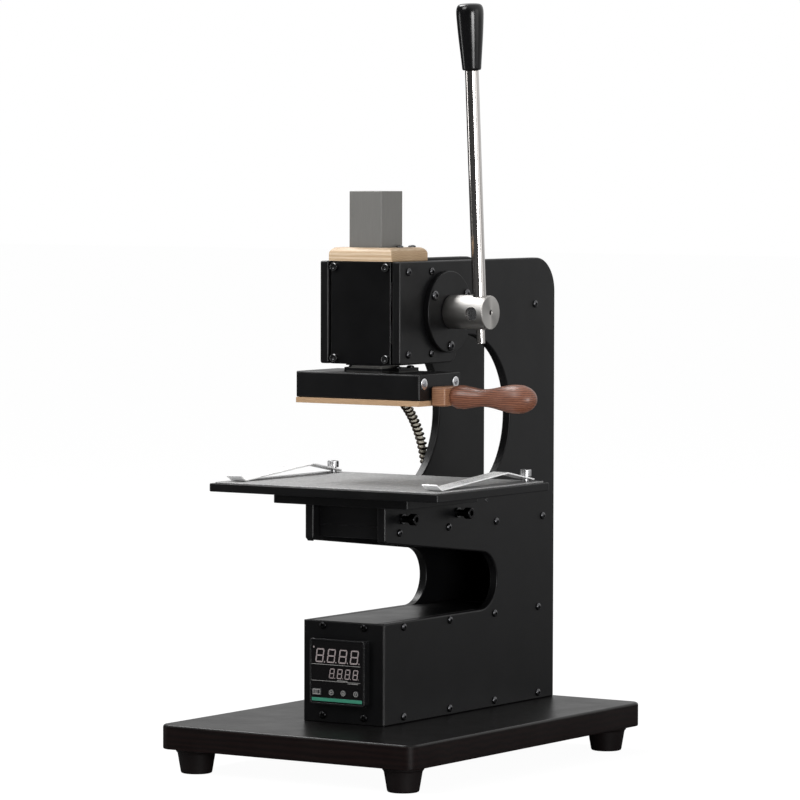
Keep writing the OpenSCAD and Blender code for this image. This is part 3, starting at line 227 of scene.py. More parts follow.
class Effects:
    """Node groups that several finishes share, each drawn when it is first placed."""

    def __init__(self) -> None:
        """Starts with no groups."""
        self.trees: Dict[str, Tree] = {}

    def place(self, desk: Desk, name: str, feeds: Optional[Dict[str, Any]] = None) -> Any:
        """Places a group in a material.

        Args:
            desk: The material's desk.
            name: The group's name, which is also the name of the method that draws it.
            feeds: Values of its inputs.

        Returns:
            The outputs of the group's node.
        """
        if name not in self.trees:
            self.trees[name] = getattr(self, name)()
        return desk.put("Group", feeds, node_tree=self.trees[name]).outputs

    def start(self, name: str, **inputs: Any) -> Tuple[Desk, Any]:
        """Opens a new group.

        Args:
            name: The group's name.
            **inputs: Value of each input: a number, a vector or, with four numbers, a colour.

        Returns:
            The group's desk and its inputs.
        """
        tree = bpy.data.node_groups.new(name, "ShaderNodeTree")
        for key, value in inputs.items():
            kind = "Float" if isinstance(value, float) else {3: "Vector", 4: "Color"}[len(value)]
            socket = tree.interface.new_socket(name=key, in_out="INPUT", socket_type=f"NodeSocket{kind}")
            socket.default_value = value
        return Desk(tree), tree.nodes.new("NodeGroupInput").outputs

    def close(self, desk: Desk, **outputs: Socket) -> Tree:
        """Gives a group its outputs.

        Args:
            desk: The group's desk.
            **outputs: Socket that feeds each output.

        Returns:
            The group.
        """
        for key, value in outputs.items():
            kind = "Color" if value.type == "RGBA" else "Float"
            desk.tree.interface.new_socket(name=key, in_out="OUTPUT", socket_type=f"NodeSocket{kind}")
        out = desk.tree.nodes.new("NodeGroupOutput")
        for key, value in outputs.items():
            desk.feed(out.inputs[key], value)
        return desk.tree

    def fine_grain(self) -> Tree:
        """Draws the orange peel of a coat: a fine height and a slow tone.

        Returns:
            The group.
        """
        desk, given = self.start("fine_grain", Scale=2500.0)
        fine = desk.noise(desk.here(), given["Scale"], 2.0)
        slow = desk.noise(desk.here(), desk.math("MULTIPLY", given["Scale"], 0.02), 3.0)
        return self.close(desk, Height=fine, Tone=desk.span(slow, 0.0, 1.0, 0.3, 0.7))

    def smudges(self) -> Tree:
        """Draws broad soft patches where hands and cloths have passed.

        Returns:
            The group.
        """
        desk, given = self.start("smudges", Scale=28.0)
        patch = desk.noise(desk.here(), given["Scale"], 4.0)
        return self.close(desk, Mask=desk.span(patch, 0.0, 1.0, 0.35, 0.68))

    def brushing(self) -> Tree:
        """Draws fine lines along the direction in which the stretch is least.

        Returns:
            The group.
        """
        desk, given = self.start("brushing", Stretch=(2500.0, 2500.0, 60.0))
        lines = desk.noise(desk.vector("MULTIPLY", desk.here(), given["Stretch"]), 1.0, 3.0, 0.65)
        return self.close(desk, Height=lines, Tone=desk.span(lines, 0.0, 1.0, 0.3, 0.7))

    def turning(self) -> Tree:
        """Draws the rings that a lathe leaves round an axis along X.

        Returns:
            The group.
        """
        desk, given = self.start("turning", Centre=(0.0, 0.0, 0.0), Across=(0.0, 1.0, 1.0), Pitch=0.0003)
        away = desk.vector("SUBTRACT", desk.here(), given["Centre"])
        far = desk.vector("LENGTH", desk.vector("MULTIPLY", away, given["Across"]))
        turns = desk.math("MULTIPLY", desk.math("DIVIDE", far, given["Pitch"]), 2 * math.pi)
        return self.close(desk, Height=desk.span(desk.math("SINE", turns, 0.0), 0.0, 1.0, -1.0, 1.0))

    def edge_wear(self) -> Tree:
        """Draws a broken mask along worked edges.

        Returns:
            The group.
        """
        desk, given = self.start("edge_wear", Radius=0.0008, Scale=160.0)
        soft = desk.put("Bevel", {"Radius": given["Radius"]}, samples=3).outputs["Normal"]
        meet = desk.vector("DOT_PRODUCT", soft, desk.put("NewGeometry").outputs["Normal"])
        edge = desk.span(meet, 1.0, 0.0, 0.82, 0.99)
        broken = desk.span(desk.noise(desk.here(), given["Scale"], 5.0), 0.0, 1.0, 0.42, 0.62)
        return self.close(desk, Mask=desk.math("MULTIPLY", edge, broken, True))

    def wood_figure(self) -> Tree:
        """Draws growth rings and fibres along the object's X axis.

        Returns:
            The group.
        """
        colors = {"Pale": (0.6, 0.45, 0.3, 1.0), "Dark": (0.4, 0.27, 0.16, 1.0)}
        desk, given = self.start("wood_figure", Rings=220.0, **colors)
        along = desk.vector("MULTIPLY", desk.here(), (0.12, 1.0, 1.0))
        sway = desk.noise(along, 45.0, 2.0, 0.5)
        waves = {"Distortion": 5.0, "Detail": 2.0, "Detail Scale": 1.2}
        feeds = {"Vector": along, "Scale": given["Rings"], **waves}
        bands = desk.put("TexWave", feeds, wave_type="BANDS", bands_direction="Z").outputs["Fac"]
        fibre = desk.noise(desk.vector("MULTIPLY", desk.here(), (90.0, 1900.0, 1900.0)), 1.0, 3.0, 0.7)
        ring, pore = desk.math("MULTIPLY", bands, 0.45), desk.math("MULTIPLY", fibre, 0.75)
        total = desk.math("ADD", desk.math("ADD", ring, pore), desk.math("MULTIPLY", sway, 0.35))
        color = desk.blend(desk.span(total, 0.0, 1.0, 0.45, 1.1), given["Pale"], given["Dark"])
        return self.close(desk, Color=color, Height=fibre)

    def pebbles(self) -> Tree:
        """Draws the close round grain of an embossed sheet.

        Returns:
            The group.
        """
        desk, given = self.start("pebbles", Scale=1100.0)
        feeds = {"Vector": desk.here(), "Scale": given["Scale"], "Smoothness": 0.6}
        cells = desk.put("TexVoronoi", feeds, feature="SMOOTH_F1").outputs["Distance"]
        tone = desk.noise(desk.here(), desk.math("MULTIPLY", given["Scale"], 0.3), 4.0)
        height = desk.span(cells, 1.0, 0.0, 0.0, 0.7)
        return self.close(desk, Height=height, Tone=desk.span(tone, 0.0, 1.0, 0.35, 0.65))


@dataclass(frozen=True)
class Finish:
    """A surface finish, which draws its own material."""

    name: str
    color: Color
    roughness: float
    specular: float = 0.5

    def material(self, effects: Effects) -> bpy.types.Material:
        """Draws the material.

        Args:
            effects: Shared node groups.

        Returns:
            The new material.
        """
        made = bpy.data.materials.new(self.name)
        made.use_nodes = True
        made.node_tree.nodes.clear()
        desk = Desk(made.node_tree)
        feeds = {"Specular IOR Level": self.specular, **self.look(desk, effects)}
        desk.put("OutputMaterial", {"Surface": desk.put("BsdfPrincipled", feeds).outputs["BSDF"]})
        return made

    def look(self, desk: Desk, effects: Effects) -> Dict[str, Any]:
        """Draws the finish's own nodes and gives what the shader's inputs are fed."""
        raise NotImplementedError

    def toned(self, desk: Desk, share: Socket, low: float, high: float) -> Socket:
        """Varies the colour between two factors."""
        return desk.blend(share, scaled(self.color, low), scaled(self.color, high))

    def rubbed(self, desk: Desk, effects: Effects, spread: float) -> Socket:
        """Varies the roughness either way in broad patches."""
        patch = effects.place(desk, "smudges")["Mask"]
        return desk.span(patch, self.roughness - spread, self.roughness + spread)


@dataclass(frozen=True)
class Coat(Finish):
    """A baked or anodised coat with a fine grain, thin along the edges."""

    grain: float = 2600.0
    relief: float = 0.10
    worn: Color = (0.05, 0.05, 0.052)
    wear: float = 0.5

    def look(self, desk: Desk, effects: Effects) -> Dict[str, Any]:
        """Draws grain, tone, edge wear and smudges.

        Args:
            desk: The material's desk.
            effects: Shared node groups.

        Returns:
            What the shader's inputs are fed.
        """
        grain = effects.place(desk, "fine_grain", {"Scale": self.grain})
        share = desk.math("MULTIPLY", effects.place(desk, "edge_wear")["Mask"], self.wear)
        return {
            "Base Color": desk.blend(share, self.toned(desk, grain["Tone"], 0.86, 1.14), self.worn),
            "Roughness": self.rubbed(desk, effects, 0.04),
            "Normal": desk.bump(grain["Height"], self.relief, 0.0002),
        }


@dataclass(frozen=True)
class Metal(Finish):
    """Bare metal with brush lines."""

    stretch: Color = (2500.0, 2500.0, 60.0)
    relief: float = 0.06
    spread: float = 0.05
    metallic: float = 1.0

    def look(self, desk: Desk, effects: Effects) -> Dict[str, Any]:
        """Draws brush lines and smudges.

        Args:
            desk: The material's desk.
            effects: Shared node groups.

        Returns:
            What the shader's inputs are fed.
        """
        lines = effects.place(desk, "brushing", {"Stretch": self.stretch})
        patch = effects.place(desk, "smudges", {"Scale": 40.0})["Mask"]
        mixed = desk.math("MULTIPLY", desk.math("ADD", patch, lines["Tone"]), 0.5)
        return {
            "Metallic": self.metallic,
            "Base Color": self.toned(desk, lines["Tone"], 0.88, 1.06),
            "Roughness": desk.span(mixed, self.roughness - self.spread, self.roughness + self.spread),
            "Normal": desk.bump(lines["Height"], self.relief, 0.0001),
        }


@dataclass(frozen=True)
class TurnedMetal(Finish):
    """Bare metal with lathe rings round the lever's axis."""

    centre: Color = (MID_X * MM, -0.001, 0.3345)
    relief: float = 0.2
    drawn: float = 0.75

    def look(self, desk: Desk, effects: Effects) -> Dict[str, Any]:
        """Draws the rings, a slow tone and smudges.

        Args:
            desk: The material's desk.
            effects: Shared node groups.

        Returns:
            What the shader's inputs are fed.
        """
        rings = effects.place(desk, "turning", {"Centre": self.centre})
        grain = effects.place(desk, "fine_grain", {"Scale": 1800.0})
        return {
            "Metallic": 1.0,
            "Anisotropic": self.drawn,
            "Tangent": desk.put("Tangent", direction_type="RADIAL", axis="X").outputs["Tangent"],
            "Base Color": self.toned(desk, grain["Tone"], 0.92, 1.05),
            "Roughness": self.rubbed(desk, effects, 0.04),
            "Normal": desk.bump(rings["Height"], self.relief, 0.00003),
        }


@dataclass(frozen=True)
class Wood(Finish):
    """Oiled wood with its grain along X."""

    dark: Color = (0.3, 0.2, 0.1)
    rings: float = 160.0
    relief: float = 0.15

    def look(self, desk: Desk, effects: Effects) -> Dict[str, Any]:
        """Draws the figure of the wood and paler edges.

        Args:
            desk: The material's desk.
            effects: Shared node groups.

        Returns:
            What the shader's inputs are fed.
        """
        feeds = {"Rings": self.rings, "Pale": self.color, "Dark": self.dark}
        figure = effects.place(desk, "wood_figure", feeds)
        share = desk.math("MULTIPLY", effects.place(desk, "edge_wear", {"Radius": 0.001})["Mask"], 0.25)
        return {
            "Base Color": desk.blend(share, figure["Color"], scaled(self.color, 1.15)),
            "Roughness": self.rubbed(desk, effects, 0.07),
            "Normal": desk.bump(figure["Height"], self.relief, 0.0002),
        }


@dataclass(frozen=True)
class Embossed(Finish):
    """A soft sheet with a close round grain."""

    scale: float = 1100.0
    relief: float = 0.6

    def look(self, desk: Desk, effects: Effects) -> Dict[str, Any]:
        """Draws the grain and its tone, darker in the hollows of the grain as painted shade.

        Args:
            desk: The material's desk.
            effects: Shared node groups.

        Returns:
            What the shader's inputs are fed.
        """
        grain = effects.place(desk, "pebbles", {"Scale": self.scale})
        tone = self.toned(desk, grain["Tone"], 0.6, 1.4)
        return {
            # Hollows of the grain darken to 0.55 of the colour: painted shade
            "Base Color": desk.blend(grain["Height"], scaled(self.color, 0.55), tone),
            "Roughness": self.rubbed(desk, effects, 0.08),
            "Normal": desk.bump(grain["Height"], self.relief, 0.0003),
        }


@dataclass(frozen=True)
class Moulded(Finish):
    """Moulded plastic or printed ink with a faint texture."""

    grain: float = 3200.0
    relief: float = 0.06
    coat: float = 0.0

    def look(self, desk: Desk, effects: Effects) -> Dict[str, Any]:
        """Draws a faint grain and smudges.

        Args:
            desk: The material's desk.
            effects: Shared node groups.

        Returns:
            What the shader's inputs are fed.
        """
        grain = effects.place(desk, "fine_grain", {"Scale": self.grain})
        return {
            "Coat Weight": self.coat,
            "Coat Roughness": 0.06,
            "Base Color": self.toned(desk, grain["Tone"], 0.9, 1.1),
            "Roughness": self.rubbed(desk, effects, min(0.05, self.roughness * 0.4)),
            "Normal": desk.bump(grain["Height"], self.relief, 0.0001),
        }


# Stretches of the brush lines: even ones, and lines along Y
SCREW_LINES = (900.0, 900.0, 900.0)
SHEET_LINES = (3000.0, 90.0, 3000.0)

POWDER = Coat("powder_black", tint(12, 12, 13), 0.38, 0.21)
PANEL = Coat("panel_black", tint(7, 7, 8), 0.32, 0.28, grain=3000.0)
ANODISED = Coat("anodised_black", tint(12, 12, 13), 0.36, 0.24, grain=3400.0)
BOARD_TOP = Coat("board_charcoal", tint(13, 12, 12), 0.32, 0.18, grain=1700.0, relief=0.2)
BOARD_EDGE = Wood("board_edge", tint(22, 13, 12), 0.42, 0.12, dark=tint(11, 7, 7), rings=70.0)
OXIDE = Metal("screw_black_oxide", tint(84, 84, 86), 0.2, stretch=SCREW_LINES)
DARK_STEEL = Metal("screw_dark_steel", tint(116, 116, 117), 0.22, stretch=SCREW_LINES)
LOCK_BLACK = Metal("lock_black_oxide", tint(38, 38, 39), 0.3, stretch=SCREW_LINES)
STEEL = Metal("machined_steel", tint(185, 185, 186), 0.28, stretch=(1500.0, 300.0, 1500.0))
POLISHED = Metal("polished_steel", tint(228, 228, 230), 0.16, stretch=SHEET_LINES)
# Clip steel: its near-white colour with little metal is a painted reflection of a white room on polished
# chrome
CLIP_PAINTED_REFLECTION = Metal("clip_steel_painted_reflection", tint(252, 252, 252), 0.28, 0.1, stretch=SHEET_LINES, metallic=0.2)
ROD = Metal(
    "drawn_rod", tint(206, 202, 199), 0.14, stretch=(2600.0, 2600.0, 45.0), relief=0.004, spread=0.03
)
HUB = TurnedMetal("turned_hub", tint(172, 170, 167), 0.44)
RAM_GREY = Metal("ground_ram", tint(110, 109, 106), 0.5, stretch=(3500.0, 3500.0, 70.0), metallic=0.1)
TYPE_METAL = Metal(
    "brushed_type_plate", tint(190, 157, 123), 0.42, stretch=(60.0, 3200.0, 3200.0), metallic=0.3
)
BRONZE = TurnedMetal("turned_bronze", tint(170, 132, 82), 0.3)
HOSE = Metal("hose_wire", tint(42, 36, 29), 0.4, stretch=(1500.0, 1500.0, 1500.0), relief=0.15)
LEAD = Embossed("lead_sleeve", tint(240, 233, 216), 0.75, scale=1600.0, relief=0.3)
MICA = Coat("mica_sheet", tint(34, 33, 31), 0.5, grain=900.0)
BEECH = Wood("oiled_beech", tint(206, 185, 158), 0.5, dark=tint(172, 143, 110), rings=120.0)
BEECH_END = Wood("beech_end_grain", tint(184, 158, 126), 0.6, dark=tint(146, 118, 87), rings=260.0)
WALNUT = Wood("oiled_walnut", tint(138, 88, 66), 0.36, dark=tint(68, 38, 27), rings=210.0)
WALNUT_PALE = Wood("walnut_root", tint(164, 122, 92), 0.42, dark=tint(104, 66, 46), rings=260.0)
RUBBER = Embossed("grained_mat", tint(172, 172, 172), 0.5)
PLASTIC = Moulded("black_plastic", tint(16, 16, 17), 0.22, 0.6)
FOOT = Moulded("foot_plastic", tint(17, 12, 12), 0.5, 0.2)
GLOSS = Moulded("gloss_black", tint(10, 10, 11), 0.2, 0.4, relief=0.02)
FACE = Moulded("display_face", tint(12, 11, 12), 0.22, 0.25, relief=0.02)
KEY = Moulded("key_grey", tint(34, 35, 37), 0.42)
RED = Moulded("switch_red", tint(190, 34, 28), 0.25, coat=0.3)
DIGIT = Moulded("display_segments", tint(142, 132, 132), 0.4)
INK = Moulded("printed_pale", tint(146, 145, 143), 0.5)
STRIPE = Moulded("printed_green", tint(50, 124, 101), 0.4)


@dataclass(frozen=True)
class Edge:
    """How a piece's edges are rounded, in millimetres.

    All edges take the width. The four upright corners and the rim of the front face take their own size,
    unless it is 0.
    """

    width: float
    segments: int = 2
    corner: float = 0.0
    rim: float = 0.0


@dataclass(frozen=True)
class Screw:
    """A screw with a hexagon socket, in millimetres, standing on the foot of its head."""

    head: float
    rise: float
    key: float
    shank: float
    domed: bool = True

    def outline(self) -> Outline:
        """Gives radius and height of its outline, from the shank's end up.

        Returns:
            The points.
        """
        r, top, stem = self.head / 2, self.rise, self.shank / 2
        if self.domed:
            points = [(0.0, -4.0), (stem, -4.0), (stem, 0.0), (r * 0.97, 0.0), (r, top * 0.1)]
            turns = (0.0, 0.25, 0.5, 0.75, 1.0, 1.2)
            points += [(r * math.cos(turn), top * (0.3 + 0.7 * math.sin(turn))) for turn in turns]
            return points + [(0.0, points[-1][1])]
        points = [(0.0, -6.0), (stem, -6.0), (stem, 0.0), (r - 0.25, 0.0), (r, 0.25), (r, top - 0.6)]
        return points + [(r - 0.12, top - 0.25), (r - 0.45, top - 0.04), (r - 0.7, top), (0.0, top)]


SMALL_SCREW = Screw(5.7, 1.7, 2.4, 3.0)
PANEL_SCREW = Screw(5.7, 1.7, 2.6, 3.0)
FLANGE_SCREW = Screw(7.4, 2.1, 3.2, 4.0)
HEAD_SCREW = Screw(6.2, 2.6, 3.2, 3.0, domed=False)
BLOCK_SCREW = Screw(8.5, 5.0, 4.6, 5.0, domed=False)


class Bench:
    """Modelling moves, made with the same operators as by hand."""

    def __init__(self, nodes: Dict[str, Piece]) -> None:
        """Takes the CAD nodes that copies are made from."""
        self.nodes = nodes

    def clear(self) -> None:
        """Leaves edit mode and deselects everything."""
        if bpy.context.mode != "OBJECT":
            bpy.ops.object.mode_set(mode="OBJECT")
        bpy.ops.object.select_all(action="DESELECT")

    def take(self, *pieces: Piece) -> None:
        """Selects pieces alone, with the first one active.

        Args:
            *pieces: Pieces to select.
        """
        self.clear()
        for piece in pieces:
            piece.select_set(True)
        bpy.context.view_layer.objects.active = pieces[0]

    def made(self, name: str) -> Piece:
        """Names the piece that was just made, and its mesh.

        Args:
            name: The name.

        Returns:
            The piece.
        """
        piece = bpy.context.view_layer.objects.active
        piece.name = name
        piece.data.name = name
        return piece

    def twin(self, piece: Piece) -> Piece:
        """Copies a piece with its mesh.

        Args:
            piece: Piece to copy.

        Returns:
            The copy, which is selected.
        """
        self.take(piece)
        bpy.ops.object.duplicate(linked=False)
        return bpy.context.view_layer.objects.active

    @contextmanager
    def editing(self, piece: Piece, part: Part) -> Iterator[None]:
        """Opens a piece in edit mode with nothing picked.

        Args:
            piece: Piece to edit.
            part: Part of the mesh that picks work on.

        Yields:
            Nothing; edit mode ends with the block.
        """
        self.take(piece)
        bpy.ops.object.mode_set(mode="EDIT")
        bpy.ops.mesh.select_mode(type=part.value)
        bpy.ops.mesh.select_all(action="DESELECT")
        yield
        bpy.ops.object.mode_set(mode="OBJECT")

    def pick(self, piece: Piece, part: Part, wanted: Callable[[Any], bool]) -> None:
        """Picks parts of the mesh in edit mode by a test.

        Args:
            piece: Piece that is open in edit mode.
            part: Kind of part to pick.
            wanted: Test that a part has to pass.
        """
        mesh = bmesh.from_edit_mesh(piece.data)
        bpy.ops.mesh.select_all(action="DESELECT")
        for one in mesh.verts if part is Part.VERTS else mesh.edges:
            if wanted(one):
                one.select_set(True)
        bmesh.update_edit_mesh(piece.data)

    def settle(self, piece: Piece, place: Optional[Matrix] = None) -> None:
        """Puts a piece's place, turn and size into its mesh.

        Args:
            piece: Piece to settle.
            place: Place to move it to first.
        """
        if place is not None:
            piece.matrix_world = place
        self.take(piece)
        bpy.ops.object.transform_apply(location=True, rotation=True, scale=True)

    def stand(self, foot: Vector, axis: Vector) -> Matrix:
        """Gives the place that sets something upright on a foot, along an axis."""
        turn = UP.rotation_difference(axis.normalized())
        return Matrix.Translation(foot) @ turn.to_matrix().to_4x4()

    def finish(self, piece: Piece, kind: str, **settings: Any) -> None:
        """Adds a modifier and applies it.

        Args:
            piece: Piece to work on.
            kind: Blender's name of the modifier's type.
            **settings: Values of its properties.
        """
        self.take(piece)
        modifier = piece.modifiers.new(kind.lower(), kind)
        for key, value in settings.items():
            setattr(modifier, key, value)
        bpy.ops.object.modifier_apply(modifier=modifier.name)

    def soften(self, piece: Piece, width: float, segments: int = 2, limit: float = 38.0) -> None:
        """Rounds a piece's sharp edges.

        Args:
            piece: Piece to work on.
            width: Width of the rounding in millimetres.
            segments: Faces across the rounding.
            limit: Least angle in degrees of an edge that is rounded.
        """
        self.finish(
            piece,
            "BEVEL",
            width=width * MM,
            segments=segments,
            limit_method="ANGLE",
            angle_limit=math.radians(limit),
            use_clamp_overlap=False,
            loop_slide=False,
        )

    def smooth(self, piece: Piece, angle: float = 35.0, level: float = 0.01) -> None:
        """Shades a piece smoothly up to an angle, with flat faces kept flat.

        Args:
            piece: Piece to work on.
            angle: Largest angle in degrees that is shaded smoothly.
            level: Difference of area in square metres from which a larger face sets the normal alone.
        """
        self.take(piece)
        bpy.ops.object.shade_smooth_by_angle(angle=math.radians(angle))
        self.finish(piece, "WEIGHTED_NORMAL", keep_sharp=True, weight=100, thresh=level)

    def close_up(self) -> None:
        """Welds the mesh that is open in edit mode and turns its faces outward."""
        bpy.ops.mesh.select_all(action="SELECT")
        bpy.ops.mesh.remove_doubles(threshold=WELD)
        bpy.ops.mesh.normals_make_consistent(inside=False)

    def bevel(
        self, piece: Piece, wanted: Callable[[Any], bool], width: float, steps: int, **more: Any
    ) -> None:
        """Rounds the edges that pass a test.

        Args:
            piece: Piece to work on.
            wanted: Test that an edge has to pass.
            width: Width of the rounding in millimetres.
            steps: Faces across the rounding.
            **more: Other settings of the bevel.
        """
        with self.editing(piece, Part.EDGES):
            self.pick(piece, Part.EDGES, wanted)
            bpy.ops.mesh.bevel(offset=width * MM, segments=steps, affect="EDGES", **more)

    def worked_copy(self, node: str, edge: Edge) -> Piece:
        """Copies a CAD node and works its edges.

        Args:
            node: Name of the node.
            edge: How its edges are rounded.

        Returns:
            The copy, with its place in its own mesh.
        """
        copy = self.twin(self.nodes[node])
        bpy.ops.object.parent_clear(type="CLEAR_KEEP_TRANSFORM")
        for key in [key for key in copy.keys() if key.startswith("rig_")]:
            del copy[key]
        self.made(f"{node}_worked")
        bpy.ops.mesh.customdata_custom_splitnormals_clear()
        with self.editing(copy, Part.VERTS):
            bpy.ops.mesh.select_all(action="SELECT")
            bpy.ops.mesh.remove_doubles(threshold=CAD_WELD)
            bpy.ops.mesh.dissolve_limited(angle_limit=FLAT)
        if edge.corner > 0:
            self.round_corners(copy, edge.corner)
        if edge.rim > 0:
            self.round_front(copy, edge.rim)
        self.soften(copy, edge.width, edge.segments)
        self.smooth(copy, level=FINE_LEVEL)
        return copy

    def round_corners(self, piece: Piece, radius: float) -> None:
        """Rounds the four upright corners of a plate.

        Args:
            piece: Plate to work on.
            radius: Radius in millimetres.
        """
        sides = [[corner[axis] for corner in piece.bound_box] for axis in (0, 1)]

        def outer(vert: Any) -> bool:
            """Tells whether a point stands on a corner of the outline."""
            gaps = [(vert.co[i] - min(side), max(side) - vert.co[i]) for i, side in enumerate(sides)]
            return all(min(gap) < NEAR for gap in gaps)

        def upright(edge: Any) -> bool:
            """Tells whether an edge stands on a corner."""
            low, high = edge.verts
            return outer(low) and outer(high) and abs(low.co.z - high.co.z) > NEAR

        self.bevel(piece, upright, radius, 6)

    def round_front(self, piece: Piece, width: float) -> None:
        """Rounds the edges round a piece's front face.

        Args:
            piece: Piece to work on.
            width: Width of the rounding in millimetres.
        """
        front, sharp = min(corner[1] for corner in piece.bound_box) + NEAR, 0.6

        def rim(edge: Any) -> bool:
            """Tells whether an edge bounds the front face."""
            return edge.calc_face_angle(0.0) > sharp and all(vert.co.y < front for vert in edge.verts)

        self.bevel(piece, rim, width, 4, loop_slide=False)

    def block(self, name: str, low: Vector, high: Vector) -> Piece:
        """Lays a plain block to be shaped.

        Args:
            name: Name of the piece.
            low: Lowest corner.
            high: Highest corner.

        Returns:
            The block.
        """
        self.clear()
        bpy.ops.mesh.primitive_cube_add(size=1.0, location=(low + high) / 2)
        piece = self.made(name)
        piece.scale = high - low
        self.settle(piece)
        return piece

    def peg(self, name: str, sides: int, diameter: float, length: float, place: Matrix) -> Piece:
        """Lays a prism to be shaped or to cut with.

        Args:
            name: Name of the piece.
            sides: Number of its sides.
            diameter: Diameter over its corners in millimetres.
            length: Length in millimetres.
            place: Place of its middle, and its turn.

        Returns:
            The prism.
        """
        self.clear()
        bpy.ops.mesh.primitive_cylinder_add(vertices=sides, radius=diameter / 2 * MM, depth=length * MM)
        piece = self.made(name)
        self.settle(piece, place)
        return piece

    def cut(self, piece: Piece, tool: Piece) -> None:
        """Cuts a tool's shape out of a piece; the tool is used up.

        Args:
            piece: Piece to cut.
            tool: Shape to cut out.
        """
        self.finish(piece, "BOOLEAN", operation="DIFFERENCE", object=tool, solver="EXACT")
        self.take(tool)
        bpy.ops.object.delete()

    def lathe(self, name: str, outline: Outline, place: Matrix, steps: int = 64) -> Piece:
        """Turns an outline round an axis.

        Args:
            name: Name of the piece.
            outline: Radius and height of each point in millimetres, from the foot up.
            place: Place of the foot, and the turn from upright.
            steps: Faces round the axis.

        Returns:
            The turned piece.
        """
        self.clear()
        bpy.ops.mesh.primitive_plane_add(size=0.001)
        piece = self.made(name)
        with self.editing(piece, Part.VERTS):
            bpy.ops.mesh.select_all(action="SELECT")
            bpy.ops.mesh.merge(type="CENTER")
            bpy.ops.transform.translate(value=(outline[0][0] * MM, 0.0, outline[0][1] * MM))
            for before, after in zip(outline, outline[1:]):
                step = ((after[0] - before[0]) * MM, 0.0, (after[1] - before[1]) * MM)
                bpy.ops.mesh.extrude_vertices_move(TRANSFORM_OT_translate={"value": step})
            bpy.ops.mesh.select_all(action="SELECT")
            bpy.ops.mesh.spin(steps=steps, angle=2 * math.pi, center=(0, 0, 0), axis=(0, 0, 1))
            self.close_up()
        self.settle(piece, place)
        return piece

    def join(self, name: str, pieces: Sequence[Piece]) -> Piece:
        """Joins pieces into one.

        Args:
            name: Name of the joined piece.
            pieces: Pieces to join.

        Returns:
            The joined piece.
        """
        self.take(*pieces)
        bpy.ops.object.join()
        return self.made(name)

    def copies(self, name: str, pattern: Piece, places: Sequence[Matrix]) -> Piece:
        """Sets a copy of a pattern at each place and joins them; the pattern is used up.

        Args:
            name: Name of the joined piece.
            pattern: Piece modelled at the origin.
            places: Place and turn of each copy.

        Returns:
            The joined piece.
        """
        made = []
        for place in places:
            made.append(self.twin(pattern))
            self.settle(made[-1], place)
        self.take(pattern)
        bpy.ops.object.delete()
        return self.join(name, made)

    def screw(self, kind: Screw) -> Piece:
        """Models a screw at the origin.

        Args:
            kind: Its form.

        Returns:
            The screw.
        """
        steps, floor = (24, 0.35) if kind.domed else (32, 0.45)
        made = self.lathe("screw", kind.outline(), Matrix(), steps)
        return self.socketed(made, kind.key, kind.rise * floor, kind.rise)

    def socketed(self, screw: Piece, key: float, floor: float, top: float) -> Piece:
        """Sinks a hexagon socket into a screw.

        Args:
            screw: Screw that stands on the origin.
            key: Width of the socket across its corners in millimetres.
            floor: Height of the socket's floor.
            top: Height of the head.

        Returns:
            The same screw, shaded.
        """
        self.cut(screw, self.peg("socket", 6, key, top, Matrix.Translation((0, 0, (floor + top / 2) * MM))))
        self.smooth(screw, 32.0)
        return screw

    def bar(self, name: str, length: float, width: float, depth: float) -> Piece:
        """Models an upright flat bar with pointed ends, facing the front, at the origin.

        Args:
            name: Name of the piece.
            length: Length over the points in millimetres.
            width: Width of the bar.
            depth: Thickness of the bar.

        Returns:
            The bar.
        """
        across = width / math.cos(math.pi / 6)
        piece = self.peg(name, 6, across, depth, Matrix.Rotation(QUARTER, 4, "X"))
        reach = max(0.0, (length - across) / 2) * MM
        with self.editing(piece, Part.VERTS):
            for side in (1, -1):
                self.pick(piece, Part.VERTS, lambda vert: vert.co.z * side > 1e-7)
                bpy.ops.transform.translate(value=(0, 0, side * reach))
        return piece


